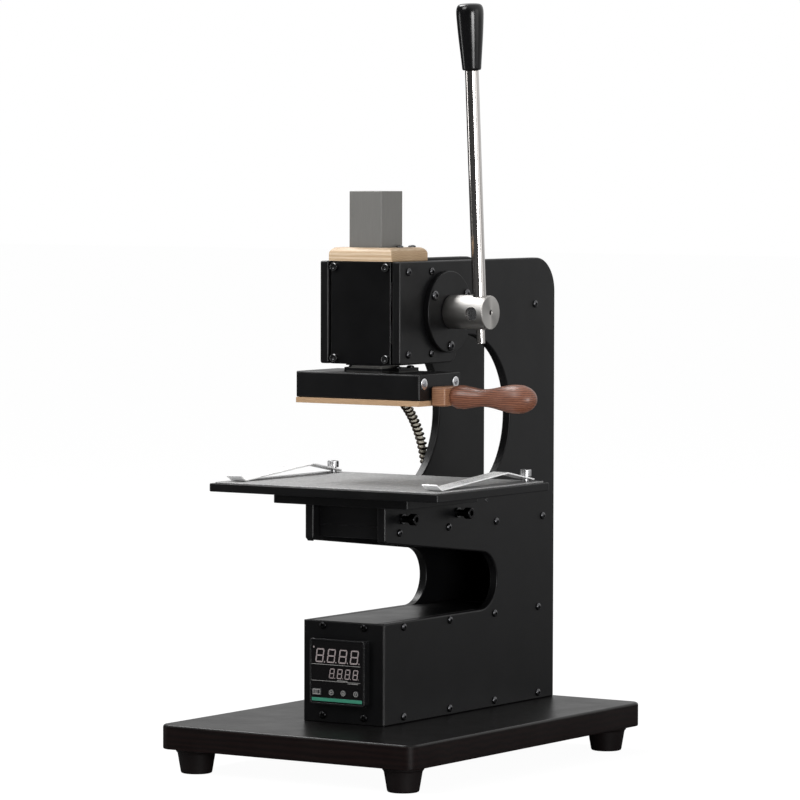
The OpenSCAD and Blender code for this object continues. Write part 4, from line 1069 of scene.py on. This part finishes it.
@dataclass
class Workshop:
    """What every sub-assembly works with."""

    frame: Dict[str, Any]
    bench: Bench
    effects: Effects = field(default_factory=Effects)
    paints: Dict[str, bpy.types.Material] = field(default_factory=dict)
    body_of: Dict[str, str] = field(default_factory=dict)
    slot_of: Dict[str, str] = field(default_factory=dict)

    def __post_init__(self) -> None:
        """Looks up each node's body and slot in the record."""
        record = self.frame["record"]
        for body, nodes in record["behaviour"]["bodies"].items():
            self.body_of.update({node: body for node in nodes})
        self.slot_of = {part["node"]: part["material_slot"] for part in record["subparts"]}

    def paint(self, finish: Finish) -> bpy.types.Material:
        """Gives a finish's material, drawn once.

        Args:
            finish: The finish.

        Returns:
            The material.
        """
        if finish.name not in self.paints:
            self.paints[finish.name] = finish.material(self.effects)
        return self.paints[finish.name]

    def dress(self, finish: Finish, *nodes: str) -> None:
        """Gives CAD nodes that stay a finish.

        Args:
            finish: Their finish.
            *nodes: Names of the nodes.
        """
        for node in nodes:
            for slot in self.frame["nodes"][node].material_slots:
                slot.material = self.paint(finish)
            LOG.info("%s: CAD shape in %s", node, finish.name)

    def coat(self, piece: Piece, *finishes: Finish) -> None:
        """Gives a new piece its finishes.

        Args:
            piece: The piece.
            *finishes: Finishes in the order of its material slots.
        """
        piece.data.materials.clear()
        for finish in finishes:
            piece.data.materials.append(self.paint(finish))

    def fit(self, piece: Piece, node: str, finish: Finish) -> None:
        """Sets a finished piece in the place of a CAD node.

        Args:
            piece: The piece, in place.
            node: Node that it stands for.
            finish: Its finish, unless it already has one.
        """
        if not piece.data.materials or piece.name.endswith("_worked"):
            self.coat(piece, finish)
        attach(piece, self.body_of[node])
        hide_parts(node)
        LOG.info("%s: stands for %s in %s", piece.name, node, finish.name)

    def add(self, piece: Piece, body: str, slot: str, finish: Finish) -> None:
        """Sets a new piece on a body.

        Args:
            piece: The piece, in place.
            body: Body that it rides on.
            slot: Slot of the record; not used.
            finish: Its finish.
        """
        self.coat(piece, finish)
        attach(piece, body)
        LOG.info("%s: rides on %s in %s", piece.name, body, finish.name)

    def work(self, finish: Finish, edge: Edge, *nodes: str) -> None:
        """Replaces nodes by copies with worked edges."""
        for node in nodes:
            self.fit(self.bench.worked_copy(node, edge), node, finish)

    def screws(self, node: str, finish: Finish, kind: Screw, axis: Vector, feet: Sequence[Vector]) -> None:
        """Replaces a node by modelled screws, whose heads stand on feet along one axis."""
        places = [self.bench.stand(foot, axis) for foot in feet]
        self.fit(self.bench.copies(f"{node}_set", self.bench.screw(kind), places), node, finish)


@dataclass
class SubAssembly:
    """A part of the machine that is built and dressed together."""

    shop: Workshop

    @property
    def bench(self) -> Bench:
        """The shared bench."""
        return self.shop.bench

    def build(self) -> None:
        """Builds and dresses the pieces."""
        raise NotImplementedError


@dataclass
class BaseBoard(SubAssembly):
    """The board with its feet."""

    width: float = 220.0
    depth: float = 320.0
    bottom: float = 18.0
    top: float = 36.0
    corner: float = 9.0
    edge: float = 2.0
    low_edge: float = 1.0
    foot_inset: float = 20.0

    def build(self) -> None:
        """Builds the board and its feet."""
        self.board()
        self.feet()
        self.shop.dress(STEEL, "base_screws")

    def board(self) -> None:
        """Shapes the board, with a laminate on top and dark edges."""
        low = spot(-self.width / 2, -self.depth / 2, self.bottom)
        high = spot(self.width / 2, self.depth / 2, self.top)
        board = self.bench.block("board_shaped", low, high)
        self.bench.bevel(board, lambda e: abs(e.verts[0].co.z - e.verts[1].co.z) > MM, self.corner, 10)
        for level, radius, steps in ((high.z, self.edge, 4), (low.z, self.low_edge, 2)):
            self.bench.bevel(board, lambda e: all(abs(v.co.z - level) < NEAR for v in e.verts), radius, steps)
        self.shop.coat(board, BOARD_TOP, BOARD_EDGE)
        for face in board.data.polygons:
            face.material_index = 0 if face.normal.z > 0.5 else 1
        self.bench.smooth(board)
        self.shop.fit(board, "base_board", BOARD_TOP)

    def feet(self) -> None:
        """Turns one foot and sets four."""
        outline = [(0.0, 0.0), (10.4, 0.0), (11.0, 0.25), (11.4, 0.8), (11.6, 1.5), (13.8, 14.4)]
        outline += [(14.3, 15.4), (14.8, 15.8), (15.0, 16.4), (15.0, 18.0), (0.0, 18.0)]
        foot = self.bench.lathe("foot", outline, Matrix(), 48)
        self.bench.smooth(foot)
        x, y = self.width / 2 - self.foot_inset, self.depth / 2 - self.foot_inset
        places = [Matrix.Translation(spot(i * x, j * y, 0)) for i in (-1, 1) for j in (-1, 1)]
        self.shop.fit(self.bench.copies("feet_turned", foot, places), "feet", FOOT)


@dataclass
class SideFrame(SubAssembly):
    """Side plates, cross plates and their screws."""

    half: float = 35.0
    spots: Tuple[Tuple[float, float], ...] = (
        *((-56.0 + 62.0 * i, z) for i in range(4) for z in (41.0, 106.5)),
        *((-62.0 + 66.0 * i, 175.5) for i in range(4)),
        *((y, z) for y in (-51.0, -20.0) for z in (304.5, 364.5)),
        (124.0, 337.0),
    )
    grub_at: Tuple[float, float] = (56.5, 192.1)

    def build(self) -> None:
        """Builds the plates, the rear fittings and the screws."""
        self.shop.work(POWDER, Edge(1.1, 3), "side_plate_left", "side_plate_right")
        self.shop.work(PANEL, Edge(0.4), "box_roof_plate")
        self.shop.work(POWDER, Edge(0.4), "arm_plate", "rear_cover")
        self.shop.dress(POWDER, "bottom_plate", "tie_rod")
        self.shop.dress(PLASTIC, "relay")
        self.shop.work(PLASTIC, Edge(0.35), "mains_inlet")
        self.shop.work(PLASTIC, Edge(0.3), "switch_housing")
        self.shop.work(RED, Edge(0.4), "switch_rocker")
        places = [
            self.bench.stand(spot(side * self.half, y, z), RIGHT * side)
            for side in (-1, 1)
            for y, z in self.spots
        ]
        screws = self.bench.copies("plate_screws_set", self.bench.screw(SMALL_SCREW), places)
        self.shop.fit(screws, "plate_screws", OXIDE)
        self.grub()

    def grub(self) -> None:
        """Sets the small set screw under the table's edge."""
        outline = [(0.0, -2.0), (1.4, -2.0), (1.4, 0.1), (1.2, 0.3), (0.0, 0.3)]
        screw = self.bench.socketed(self.bench.lathe("grub", outline, Matrix(), 24), 1.5, -1.0, 2.0)
        place = self.bench.stand(spot(self.half, *self.grub_at), RIGHT)
        self.shop.add(self.bench.copies("grub_screw", screw, [place]), "frame", "screw_black", OXIDE)


@dataclass
class ControlBox(SubAssembly):
    """Front panel with the temperature controller."""

    middle_x: float = -1.2
    middle: float = 74.0
    face: float = -88.9
    key_level: float = 59.2
    key_front: float = -89.72
    slant: float = 8.0
    thick: float = 0.08
    thin: float = 0.06
    screw_x: float = 18.0
    screw_z: Tuple[float, float] = (41.5, 107.0)
    head_x: float = 22.6
    head_z: Tuple[float, float] = (301.2, 367.8)
    rear_z: Tuple[float, float] = (41.0, 175.5)
    panel_y: Tuple[float, float, float] = (-82.5, 152.0, -61.0)

    def build(self) -> None:
        """Builds the panel, the instrument and the screws of all panels."""
        self.shop.work(PANEL, Edge(0.5, rim=0.9), "front_panel")
        self.shop.work(PLASTIC, Edge(0.2, rim=0.5), "controller_case")
        self.shop.work(FACE, Edge(0.15), "controller_face")
        self.shop.work(KEY, Edge(0.3), "key_set", "key_shift", "key_down", "key_up")
        self.digits()
        self.lines()
        self.key_marks()
        self.panel_screws()

    def at(self, x: float, z: float, proud: float = 0.04) -> Vector:
        """Gives a point on the face, from the instrument's middle."""
        return spot(self.middle_x + x, self.face - proud, self.middle + z)

    def digit(
        self, x: float, z: float, width: float, height: float, stroke: float
    ) -> List[Tuple[Matrix, bool]]:
        """Lays out one figure of seven segments.

        Args:
            x: Left edge from the instrument's middle.
            z: Lower edge from the instrument's middle.
            width: Width of the figure.
            height: Height of the figure.
            stroke: Width of a segment.

        Returns:
            Place of each segment, and whether it stands upright.
        """
        lean = math.tan(math.radians(self.slant))
        flat, slanted = (Matrix.Rotation(turn, 4, "Y") for turn in (QUARTER, math.radians(self.slant)))
        levels = [(level, width / 2, False) for level in (stroke / 2, height / 2, height - stroke / 2)]
        for level in (height * 0.27, height * 0.73):
            levels += [(level, side, True) for side in (stroke / 2, width - stroke / 2)]
        places = []
        for level, side, upright in levels:
            point = self.at(x + side + (level - height / 2) * lean, z + level)
            places.append((Matrix.Translation(point) @ (slanted if upright else flat), upright))
        return places

    def digits(self) -> None:
        """Models both rows of figures and their points."""
        rows = []
        for left, step, low, width, height, stroke in (
            (-18.5, 10.05, 6.7, 6.9, 10.2, 0.95),
            (-6.7, 6.85, -4.6, 4.3, 7.3, 0.68),
        ):
            places = [p for i in range(4) for p in self.digit(left + step * i, low, width, height, stroke)]
            for upright, length in ((True, height * 0.42), (False, width - stroke * 0.9)):
                bar = self.bench.bar("segment", length, stroke, self.thick)
                rows.append(self.bench.copies("segments", bar, [m for m, up in places if up is upright]))
            dot = self.bench.bar("dot", stroke, stroke, self.thick)
            dots = [self.at(left + step * i + width + stroke * 0.55, low + stroke / 2) for i in range(4)]
            rows.append(self.bench.copies("dots", dot, [Matrix.Translation(d) for d in dots]))
        lamp = self.bench.bar("lamp", 1.4, 1.2, self.thick)
        rows.append(self.bench.copies("lamps", lamp, [Matrix.Translation(self.at(-20.5, 17.7))]))
        self.shop.add(self.bench.join("display_segments", rows), "frame", "key_grey", DIGIT)

    def lines(self) -> None:
        """Models the printed lines and the green stripe."""
        flat = Matrix.Rotation(QUARTER, 4, "Y")
        marks = []
        for length, width, spots in (
            (42.8, 0.3, ((-1.0, 5.3), (-1.0, -6.7))),
            (9.0, 0.4, ((4.5, -5.9), (14.0, -7.6))),
        ):
            places = [Matrix.Translation(self.at(x, z, 0.03)) @ flat for x, z in spots]
            marks.append(self.bench.copies("lines", self.bench.bar("line", length, width, self.thin), places))
        self.shop.add(self.bench.join("display_lines", marks), "frame", "key_grey", INK)
        stripe = self.bench.block("green_stripe", self.at(-22.2, -21.6, 0.12), self.at(21.8, -19.1, -0.02))
        self.bench.soften(stripe, 0.06)
        self.shop.add(stripe, "frame", "key_grey", STRIPE)

    def key_marks(self) -> None:
        """Prints a plain mark on each key."""
        keys = (("set_button", -17.5, Icon.FRAME), ("shift_button", -4.7, Icon.LEFT))
        keys += (("down_button", 5.8, Icon.DOWN), ("up_button", 16.8, Icon.UP))
        for body, x, icon in keys:
            place = Matrix.Translation(spot(self.middle_x + x, self.key_front, self.key_level))
            mark = self.frame_mark() if icon is Icon.FRAME else self.arrow_mark(icon)
            self.shop.add(self.bench.copies(f"{body}_mark", mark, [place]), body, "key_grey", INK)

    def frame_mark(self) -> Piece:
        """Models a mark of two rails with posts, at the origin, facing the front.

        Returns:
            The mark.
        """
        flat = Matrix.Rotation(QUARTER, 4, "Y")
        rails = [Matrix.Translation((0, 0, z * MM)) @ flat for z in (-1.7, 1.7)]
        posts = [Matrix.Translation((x * MM, 0, 0)) for x in (-3.0, -1.2, 0.4, 3.0)]
        parts = [self.bench.copies("rails", self.bench.bar("rail", 6.6, 0.5, self.thin), rails)]
        parts.append(self.bench.copies("posts", self.bench.bar("post", 3.0, 0.5, self.thin), posts))
        return self.bench.join("frame_mark", parts)

    def arrow_mark(self, icon: Icon) -> Piece:
        """Models a mark of an arrow in a ring, at the origin, facing the front.

        Args:
            icon: Which way the arrow points.

        Returns:
            The mark.
        """
        inner, outer, half = 1.55, 1.95, self.thin / 2
        outline = [(inner, -half), (outer, -half), (outer, half), (inner, half), (inner, -half)]
        ring = self.bench.lathe("ring", outline, self.bench.stand(ORIGIN, -BACK), 32)
        angles = {Icon.UP: 0.0, Icon.DOWN: math.pi, Icon.LEFT: -QUARTER}
        stem = self.bench.bar("stem", 1.9, 0.45, self.thin)
        wing = self.bench.bar("wing", 1.2, 0.4, self.thin)
        tips = []
        for side in (-1, 1):
            tip = Matrix.Translation((side * 0.38 * MM, 0, 0.5 * MM))
            tips.append(tip @ Matrix.Rotation(-side * 0.75, 4, "Y"))
        arrow = self.bench.join("arrow", [stem, self.bench.copies("wings", wing, tips)])
        self.bench.settle(arrow, Matrix.Rotation(angles[icon], 4, "Y"))
        return self.bench.join("round_mark", [ring, arrow])

    def panel_screws(self) -> None:
        """Sets the screws of the front, rear and head panels."""
        front, rear, head = (
            [self.bench.stand(spot(side * x, y, z), axis) for side in (-1, 1) for z in levels]
            for x, y, axis, levels in (
                (self.screw_x, self.panel_y[0], -BACK, self.screw_z),
                (self.screw_x, self.panel_y[1], BACK, self.rear_z),
                (self.head_x, self.panel_y[2], -BACK, self.head_z),
            )
        )
        low, high = self.bench.screw(PANEL_SCREW), self.bench.screw(HEAD_SCREW)
        self.shop.coat(low, LOCK_BLACK)
        self.shop.coat(high, DARK_STEEL)
        sets = [self.bench.copies("low_heads", low, front + rear)]
        sets.append(self.bench.copies("high_heads", high, head))
        self.shop.fit(self.bench.join("panel_screws_set", sets), "panel_screws", DARK_STEEL)


@dataclass
class Head(SubAssembly):
    """Head panel, wooden cap, guides and bearing flange."""

    axis_y: float = -1.0
    axis_z: float = 334.5
    bolt_r: float = 25.0
    bolt_x: float = 39.5
    bolt_angles: Tuple[int, ...] = (30, 150, 270)
    cap_top: float = 382.0

    def build(self) -> None:
        """Builds the head."""
        self.shop.work(PANEL, Edge(0.8, 3), "head_panel")
        self.shop.work(POWDER, Edge(0.3), "lower_guide", "upper_guide")
        self.shop.work(POWDER, Edge(0.8, 3), "bearing_flange")
        cap = self.bench.worked_copy("wood_cap", Edge(0.5))
        self.shop.coat(cap, BEECH, BEECH_END)
        for face in cap.data.polygons:
            face.material_index = 1 if abs(face.normal.x) > 0.8 else 0
        cap.name = "wood_cap_shaped"
        self.shop.fit(cap, "wood_cap", BEECH)
        self.shop.work(BRONZE, Edge(0.4), "left_bush")
        tops = [spot(x, y, self.cap_top) for x in (-19.5, 19.5) for y in (-39.0, -22.5)]
        self.shop.screws("cap_screws", OXIDE, SMALL_SCREW, UP, tops)
        bolts = []
        for turn in map(math.radians, self.bolt_angles):
            y, z = self.bolt_r * math.cos(turn), self.bolt_r * math.sin(turn)
            bolts.append(spot(self.bolt_x, self.axis_y + y, self.axis_z + z))
        self.shop.screws("flange_screws", OXIDE, FLANGE_SCREW, RIGHT, bolts)


@dataclass
class Lever(SubAssembly):
    """Shaft, hub, rod and knob."""

    axis: Tuple[float, float, float] = (64.8, -1.0, 334.5)
    lean: float = 3.9
    rod_l: float = 177.0
    shaft_x: float = -41.3
    shaft_l: float = 81.1
    hole_d: float = 10.1

    def build(self) -> None:
        """Builds the lever."""
        self.shaft()
        self.shop.work(ROD, Edge(0.6, 3), "lever_rod")
        self.shop.work(STEEL, Edge(0.4), "shaft_collar")
        self.shop.dress(STEEL, "pinion", "pinion_spacers")
        self.knob()

    def shaft(self) -> None:
        """Turns the shaft with its hub, drills the second rod hole and plugs it."""
        outline = [(0.0, 0.0), (7.6, 0.0), (8.0, 0.4)]
        hub = [(8.0, 0.0), (11.9, 0.0), (12.3, 0.2), (12.5, 0.6)]
        hub += [(12.5, 0.6 + 1.66 * i) for i in range(1, 21)]
        hub += [(12.4, 34.15), (12.1, 34.45), (11.8, 34.5), (6.0, 34.5), (2.0, 34.5)]
        hub += [(1.65, 34.1), (1.65, 29.0), (0.0, 28.2)]
        outline += [(r, self.shaft_l + z) for r, z in hub]
        foot = spot(self.shaft_x, *self.axis[1:])
        shaft = self.bench.lathe("shaft_turned", outline, self.bench.stand(foot, RIGHT), 96)
        turn = math.radians(self.lean)
        across = Vector((0, math.cos(turn), math.sin(turn)))
        middle = spot(*self.axis)
        drill = self.bench.peg("drill", 64, self.hole_d, 40.0, self.bench.stand(middle, across))
        self.bench.cut(shaft, drill)
        self.bench.smooth(shaft, 30.0)
        self.shop.fit(shaft, "lever_shaft", HUB)
        outline = [(0.0, 5.5), (4.9, 5.5), (4.9, 10.3), (4.5, 10.7), (0.0, 10.7)]
        plug = self.bench.lathe("hub_plug", outline, Matrix(), 40)
        self.bench.smooth(plug, 30.0)
        places = [self.bench.stand(middle, across * side) for side in (-1, 1)]
        self.shop.add(self.bench.copies("hub_plugs", plug, places), "lever", "screw_black", STEEL)

    def knob(self) -> None:
        """Turns the knob."""
        turn = math.radians(self.lean)
        along = Vector((0, -math.sin(turn), math.cos(turn)))
        outline = [(0.0, 0.0), (6.0, 0.0), (6.5, 0.2), (6.85, 0.8), (7.0, 1.8), (7.45, 7.0), (7.9, 12.0)]
        outline += [(8.35, 17.0), (8.8, 22.0), (9.2, 27.0), (9.55, 32.0), (9.85, 37.0), (10.0, 40.5)]
        outline += [(9.97, 42.6), (9.8, 44.2), (9.45, 45.6), (8.9, 46.7), (8.1, 47.5), (7.0, 47.95)]
        outline += [(5.0, 48.25), (2.5, 48.4), (0.0, 48.45)]
        foot = spot(*self.axis) + along * self.rod_l * MM
        knob = self.bench.lathe("knob_turned", outline, self.bench.stand(foot, along))
        self.bench.smooth(knob, 50.0)
        self.shop.fit(knob, "lever_knob", GLOSS)


@dataclass
class Press(SubAssembly):
    """Ram, heated block and what hangs on it."""

    flange_top: float = 294.0
    block_side: float = 49.6
    block_middle: float = 284.0

    def build(self) -> None:
        """Builds the moving press."""
        self.shop.work(RAM_GREY, Edge(0.45, 3), "ram")
        self.shop.dress(STEEL, "rack_bar", "heaters")
        self.shop.work(POWDER, Edge(0.3), "ram_flange")
        self.shop.dress(MICA, "heat_shield")
        self.shop.work(ANODISED, Edge(0.6, 3, rim=1.3), "heat_block")
        self.shop.work(STEEL, Edge(0.4), "block_ferrule")
        tops = [spot(x, y, self.flange_top) for x in (-19.5, 19.5) for y in (-42.25, -24.25)]
        self.shop.screws("ram_flange_screws", OXIDE, SMALL_SCREW, UP, tops)
        sides = [spot(self.block_side, y, self.block_middle) for y in (-59.0, -17.0)]
        self.shop.screws("block_screws", POLISHED, BLOCK_SCREW, RIGHT, sides)


@dataclass
class TypePlate(SubAssembly):
    """The slide-out plate and its wooden handle."""

    start: Tuple[float, float, float] = (66.2, -38.0, 274.35)
    length: float = 69.8
    diameter: float = 21.0
    steps: int = 60
    root_low: Tuple[float, float, float] = (54.7, -51.0, 267.85)
    root_high: Tuple[float, float, float] = (66.7, -25.0, 281.85)

    def build(self) -> None:
        """Builds the plate and the handle."""
        self.shop.work(TYPE_METAL, Edge(0.25), "type_plate")
        root = self.bench.block("root", spot(*self.root_low), spot(*self.root_high))
        self.bench.soften(root, 1.6, 4)
        self.shop.coat(root, WALNUT_PALE)
        outline = [(0.0, 0.0)]
        for share in (i / self.steps for i in range(self.steps + 1)):
            outline.append((self.diameter / 2 * self.swell(share), self.length * share))
        turned = self.bench.lathe("turned_grip", outline, self.bench.stand(spot(*self.start), RIGHT))
        self.shop.coat(turned, WALNUT)
        handle = self.bench.join("handle_turned", [turned, root])
        self.bench.smooth(handle, 40.0)
        self.shop.fit(handle, "type_handle", WALNUT)

    def swell(self, share: float) -> float:
        """Gives the grip's radius as a share of its greatest one.

        Args:
            share: Place along the grip, from 0 to 1.

        Returns:
            The share of the greatest radius.
        """
        if share < 0.1:
            return 0.66 + 2.6 * share if share < 0.05 else 0.79 + 0.6 * (share - 0.05)
        if share < 0.36:
            return 0.715 + 0.105 * math.cos(math.pi * (share - 0.1) / 0.26)
        if share < 0.78:
            return 0.805 - 0.195 * math.cos(math.pi * (share - 0.36) / 0.42)
        return math.sqrt(max(0.0, 1 - ((share - 0.78) / 0.22) ** 2))


@dataclass
class WorkTable(SubAssembly):
    """Sliding table with its mat, clips and locking screws."""

    clip_x: float = 85.5
    clip_y: float = 30.0

    def build(self) -> None:
        """Builds the table."""
        self.shop.work(POWDER, Edge(0.8, 3, corner=2.5), "table_plate")
        self.shop.work(RUBBER, Edge(0.5, 3, corner=3.0), "table_mat")
        self.shop.work(POWDER, Edge(0.5, 3, corner=3.5), "slide_plate")
        self.shop.work(CLIP_PAINTED_REFLECTION, Edge(0.2), "clip_left", "clip_right")
        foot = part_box("clip_screws")[1].z / MM - BLOCK_SCREW.rise
        feet = [spot(side * self.clip_x, self.clip_y, foot) for side in (-1, 1)]
        self.shop.screws("clip_screws", STEEL, BLOCK_SCREW, UP, feet)
        self.shop.work(OXIDE, Edge(0.3), "lock_rings")
        self.shop.work(LOCK_BLACK, Edge(0.25), "lock_screw_front", "lock_screw_rear")


@dataclass
class HeaterHose(SubAssembly):
    """Spiral hose and lead from the block to the elbow on the left plate."""

    side: float = -45.0
    start: Tuple[float, float] = (-4.0, 281.0)
    stop: Tuple[float, float] = (98.0, 187.0)
    lead_in: float = 3.0
    reach: float = 66.0
    drop: float = 52.0
    wire: float = 1.6
    mean_r: float = 3.2
    pitch: float = 4.0
    per_turn: int = 20
    lead_d: float = 4.7
    lead_steps: int = 44
    route_steps: int = 800

    def build(self) -> None:
        """Builds the elbow, the lead and the spiral."""
        self.shop.work(POWDER, Edge(0.8, 3), "hose_elbow")
        route = self.route(self.route_steps)
        length = sum((b - a).length for a, b in zip(route, route[1:]))
        runs = [length * i / self.lead_steps for i in range(self.lead_steps + 1)]
        lead_path = [self.along(route, run)[0] for run in runs]
        lead = self.tube("heater_lead_sleeve", lead_path, self.lead_d)
        spiral = self.tube("hose_spiral", self.spiral(route, length), self.wire)
        for piece, node, finish in ((lead, "heater_lead", LEAD), (spiral, "hose_coil", HOSE)):
            self.shop.coat(piece, finish)
            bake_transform(piece)
            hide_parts(node)
            LOG.info("%s: bends between press and frame in %s", piece.name, finish.name)

    def route(self, steps: int) -> List[Vector]:
        """Gives the hose's middle line.

        Args:
            steps: Steps along the curved part.

        Returns:
            Points from the block to the elbow.
        """
        (y0, z0), (y3, z3) = self.start, self.stop
        first, last = (y0 + self.lead_in, z0), (y3, z3 + self.lead_in)
        knots = (first, (first[0] + self.reach, first[1]), (last[0], last[1] + self.drop), last)
        points = [spot(self.side, y0, z0)]
        for t in (i / steps for i in range(steps + 1)):
            shares = ((1 - t) ** 3, 3 * (1 - t) ** 2 * t, 3 * (1 - t) * t * t, t**3)
            y, z = (sum(s * knot[axis] for s, knot in zip(shares, knots)) for axis in (0, 1))
            points.append(spot(self.side, y, z))
        return points + [spot(self.side, y3, z3)]

    def along(self, route: Sequence[Vector], run: float) -> Tuple[Vector, Vector]:
        """Finds a place on the route.

        Args:
            route: Points of the route.
            run: Length from its start in metres.

        Returns:
            The point and the direction there.
        """
        for before, after in zip(route, route[1:]):
            step = (after - before).length
            if run <= step or after is route[-1]:
                break
            run -= step
        heading = (after - before).normalized()
        return before + heading * min(run, step), heading

    def spiral(self, route: Sequence[Vector], length: float) -> List[Vector]:
        """Winds the wire round the route.

        Args:
            route: Points of the route.
            length: Its length in metres.

        Returns:
            Points of the wire.
        """
        end = self.wire * MM * 0.5
        turns = round((length - 2 * end) / (self.pitch * MM))
        points = []
        for i in range(turns * self.per_turn + 1):
            share = i / (turns * self.per_turn)
            point, heading = self.along(route, end + (length - 2 * end) * share)
            angle = 2 * math.pi * turns * share
            out = RIGHT * math.sin(angle) - RIGHT.cross(heading) * math.cos(angle)
            points.append(point + out * self.mean_r * MM)
        return points

    def tube(self, name: str, points: Sequence[Vector], diameter: float) -> Piece:
        """Makes a round tube along points.

        Args:
            name: Name of the piece.
            points: Points of its middle line.
            diameter: Diameter in millimetres.

        Returns:
            The tube as a mesh.
        """
        line = bpy.data.curves.new(name, "CURVE")
        line.dimensions = "3D"
        line.bevel_depth = diameter / 2 * MM
        line.bevel_resolution = 3
        line.use_fill_caps = True
        spline = line.splines.new("POLY")
        spline.points.add(len(points) - 1)
        for place, point in zip(spline.points, points):
            place.co = (*point, 1.0)
        piece = bpy.data.objects.new(name, line)
        bpy.context.scene.collection.objects.link(piece)
        self.bench.take(piece)
        bpy.ops.object.convert(target="MESH")
        piece = bpy.context.view_layer.objects.active
        with self.bench.editing(piece, Part.VERTS):
            self.bench.close_up()
        bpy.ops.object.shade_smooth_by_angle(angle=math.radians(50.0))
        return piece


@dataclass
class Studio:
    """Camera, floor, world and lamps; each lamp has a name, a place, a size and a power in watts."""

    camera_at: Color = (1.871158, -2.874024, 0.451769)
    right: Color = (0.8355, 0.5495, 0.0024)
    up: Color = (-0.0313, 0.0432, 0.9986)
    lens: float = 209.39
    ambient: float = 0.32
    bright_side: Color = (0.35, 0.45, 0.85)
    paper: Color = (0.6, 0.6, 0.6)
    paper_glow: Color = (1.12, 1.12, 1.12)
    aim: Color = (0.0, 0.0, 0.27)
    lamps: Tuple[Tuple[str, Color, Tuple[float, float], float], ...] = (
        ("key_box", (-0.7, -2.0, 1.9), (1.3, 1.3), 36.5),
        ("strip_box", (1.8, -1.2, 0.3), (0.8, 0.6), 24.0),
        ("side_box", (2.2, 0.1, 0.6), (1.2, 1.0), 4.0),
        ("left_strip", (-1.12, -0.52, 0.27), (0.2, 0.5), 1.3),
        ("top_box", (-1.05, 0.15, 1.85), (0.9, 0.9), 34.0),
    )

    def link(self, name: str, data: bpy.types.ID, place: Color, turn: Matrix) -> Piece:
        """Sets a camera or a lamp in the scene.

        Args:
            name: Its name.
            data: The camera or lamp.
            place: Its place in metres.
            turn: Its turn.

        Returns:
            The new object.
        """
        piece = bpy.data.objects.new(name, data)
        bpy.context.scene.collection.objects.link(piece)
        piece.matrix_world = Matrix.Translation(Vector(place)) @ turn.to_4x4()
        return piece

    def camera(self) -> None:
        """Sets the camera at the photograph's place."""
        data = bpy.data.cameras.new("camera")
        data.sensor_width = 36.0
        data.lens = self.lens
        data.clip_end = 50.0
        x = Vector(self.right).normalized()
        z = x.cross(Vector(self.up)).normalized()
        turn = Matrix((x, z.cross(x), z)).transposed()
        bpy.context.scene.camera = self.link("camera", data, self.camera_at, turn)

    def floor(self) -> None:
        """Lays the white floor, which keeps the shadow; seen in mirrors it glows, dimmer near the machine as
        a painted shade.
        """
        bpy.ops.object.select_all(action="DESELECT")
        bpy.ops.mesh.primitive_plane_add(size=30.0, location=(0, 0, 0))
        floor = bpy.context.view_layer.objects.active
        floor.name = "studio_floor"
        made = bpy.data.materials.new("studio_floor")
        made.use_nodes = True
        made.node_tree.nodes.clear()
        desk = Desk(made.node_tree)
        ray = desk.put("LightPath").outputs
        # In mirrors the floor glows with the room's brightness, fading to none near the machine: painted
        # shade round its foot
        painted_shade_falloff = desk.span(desk.vector("LENGTH", desk.here()), 0.0, 0.6, 0.3, 3.0)
        mirrored = desk.math("MULTIPLY", self.surround(desk, desk.vector("NORMALIZE", desk.here())), painted_shade_falloff)
        color = desk.blend(ray["Is Camera Ray"], mirrored, self.paper_glow)
        paper = desk.put("BsdfDiffuse", {"Color": self.paper}).outputs[0]
        glow = desk.put("Emission", {"Color": color, "Strength": 1.0}).outputs[0]
        share = desk.math("MULTIPLY", self.mirrors(desk, ray), 0.86)
        both = desk.put("MixShader", {0: share, 1: paper, 2: glow})
        desk.put("OutputMaterial", {"Surface": both.outputs[0]})
        floor.data.materials.append(made)

    def mirrors(self, desk: Desk, ray: Any) -> Socket:
        """Gives 1 for rays from the camera, in mirrors and through glass."""
        shine = desk.math("MAXIMUM", ray["Is Glossy Ray"], ray["Is Transmission Ray"])
        return desk.math("MAXIMUM", shine, ray["Is Camera Ray"])

    def surround(self, desk: Desk, direction: Socket) -> Socket:
        """Gives the room's brightness in a direction: pale behind, above and to the right, dim in front."""
        facing = desk.vector("DOT_PRODUCT", direction, self.bright_side)
        return desk.span(facing, 0.04, 1.0, -0.25, 0.85, "SMOOTHSTEP")

    def world(self) -> None:
        """Sets a white background that mirrors see as a room."""
        world = bpy.data.worlds.new("studio")
        bpy.context.scene.world = world
        world.use_nodes = True
        world.node_tree.nodes.clear()
        desk = Desk(world.node_tree)
        ray = desk.put("LightPath").outputs
        mirrored = self.surround(desk, desk.put("TexCoord").outputs["Generated"])
        lit = desk.blend(self.mirrors(desk, ray), (self.ambient,) * 3, mirrored)
        seen = desk.blend(ray["Is Camera Ray"], lit, (1.0, 1.0, 1.0))
        shade = desk.put("Background", {"Color": seen, "Strength": 1.0})
        desk.put("OutputWorld", {"Surface": shade.outputs[0]})

    def build(self) -> None:
        """Sets up floor, world and soft boxes that face the machine's middle."""
        bpy.context.scene.view_settings.view_transform = "Standard"
        self.floor()
        self.world()
        for name, place, size, power in self.lamps:
            data = bpy.data.lights.new(name, "AREA")
            data.shape = "RECTANGLE"
            data.size, data.size_y = size
            data.energy = power
            away = Vector(place) - Vector(self.aim)
            self.link(name, data, place, away.to_track_quat("Z", "Y").to_matrix())


def main() -> None:
    """Builds the machine and the studio in order."""
    logging.basicConfig(level=logging.INFO, format="%(name)s: %(message)s")
    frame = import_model()
    studio = Studio()
    studio.camera()
    shop = Workshop(frame, Bench(frame["nodes"]))
    makers = (HeaterHose, BaseBoard, SideFrame, ControlBox, Head, Lever, Press, TypePlate, WorkTable)
    for maker in makers:
        maker(shop).build()
    studio.build()


if __name__ == "__main__":
    main()
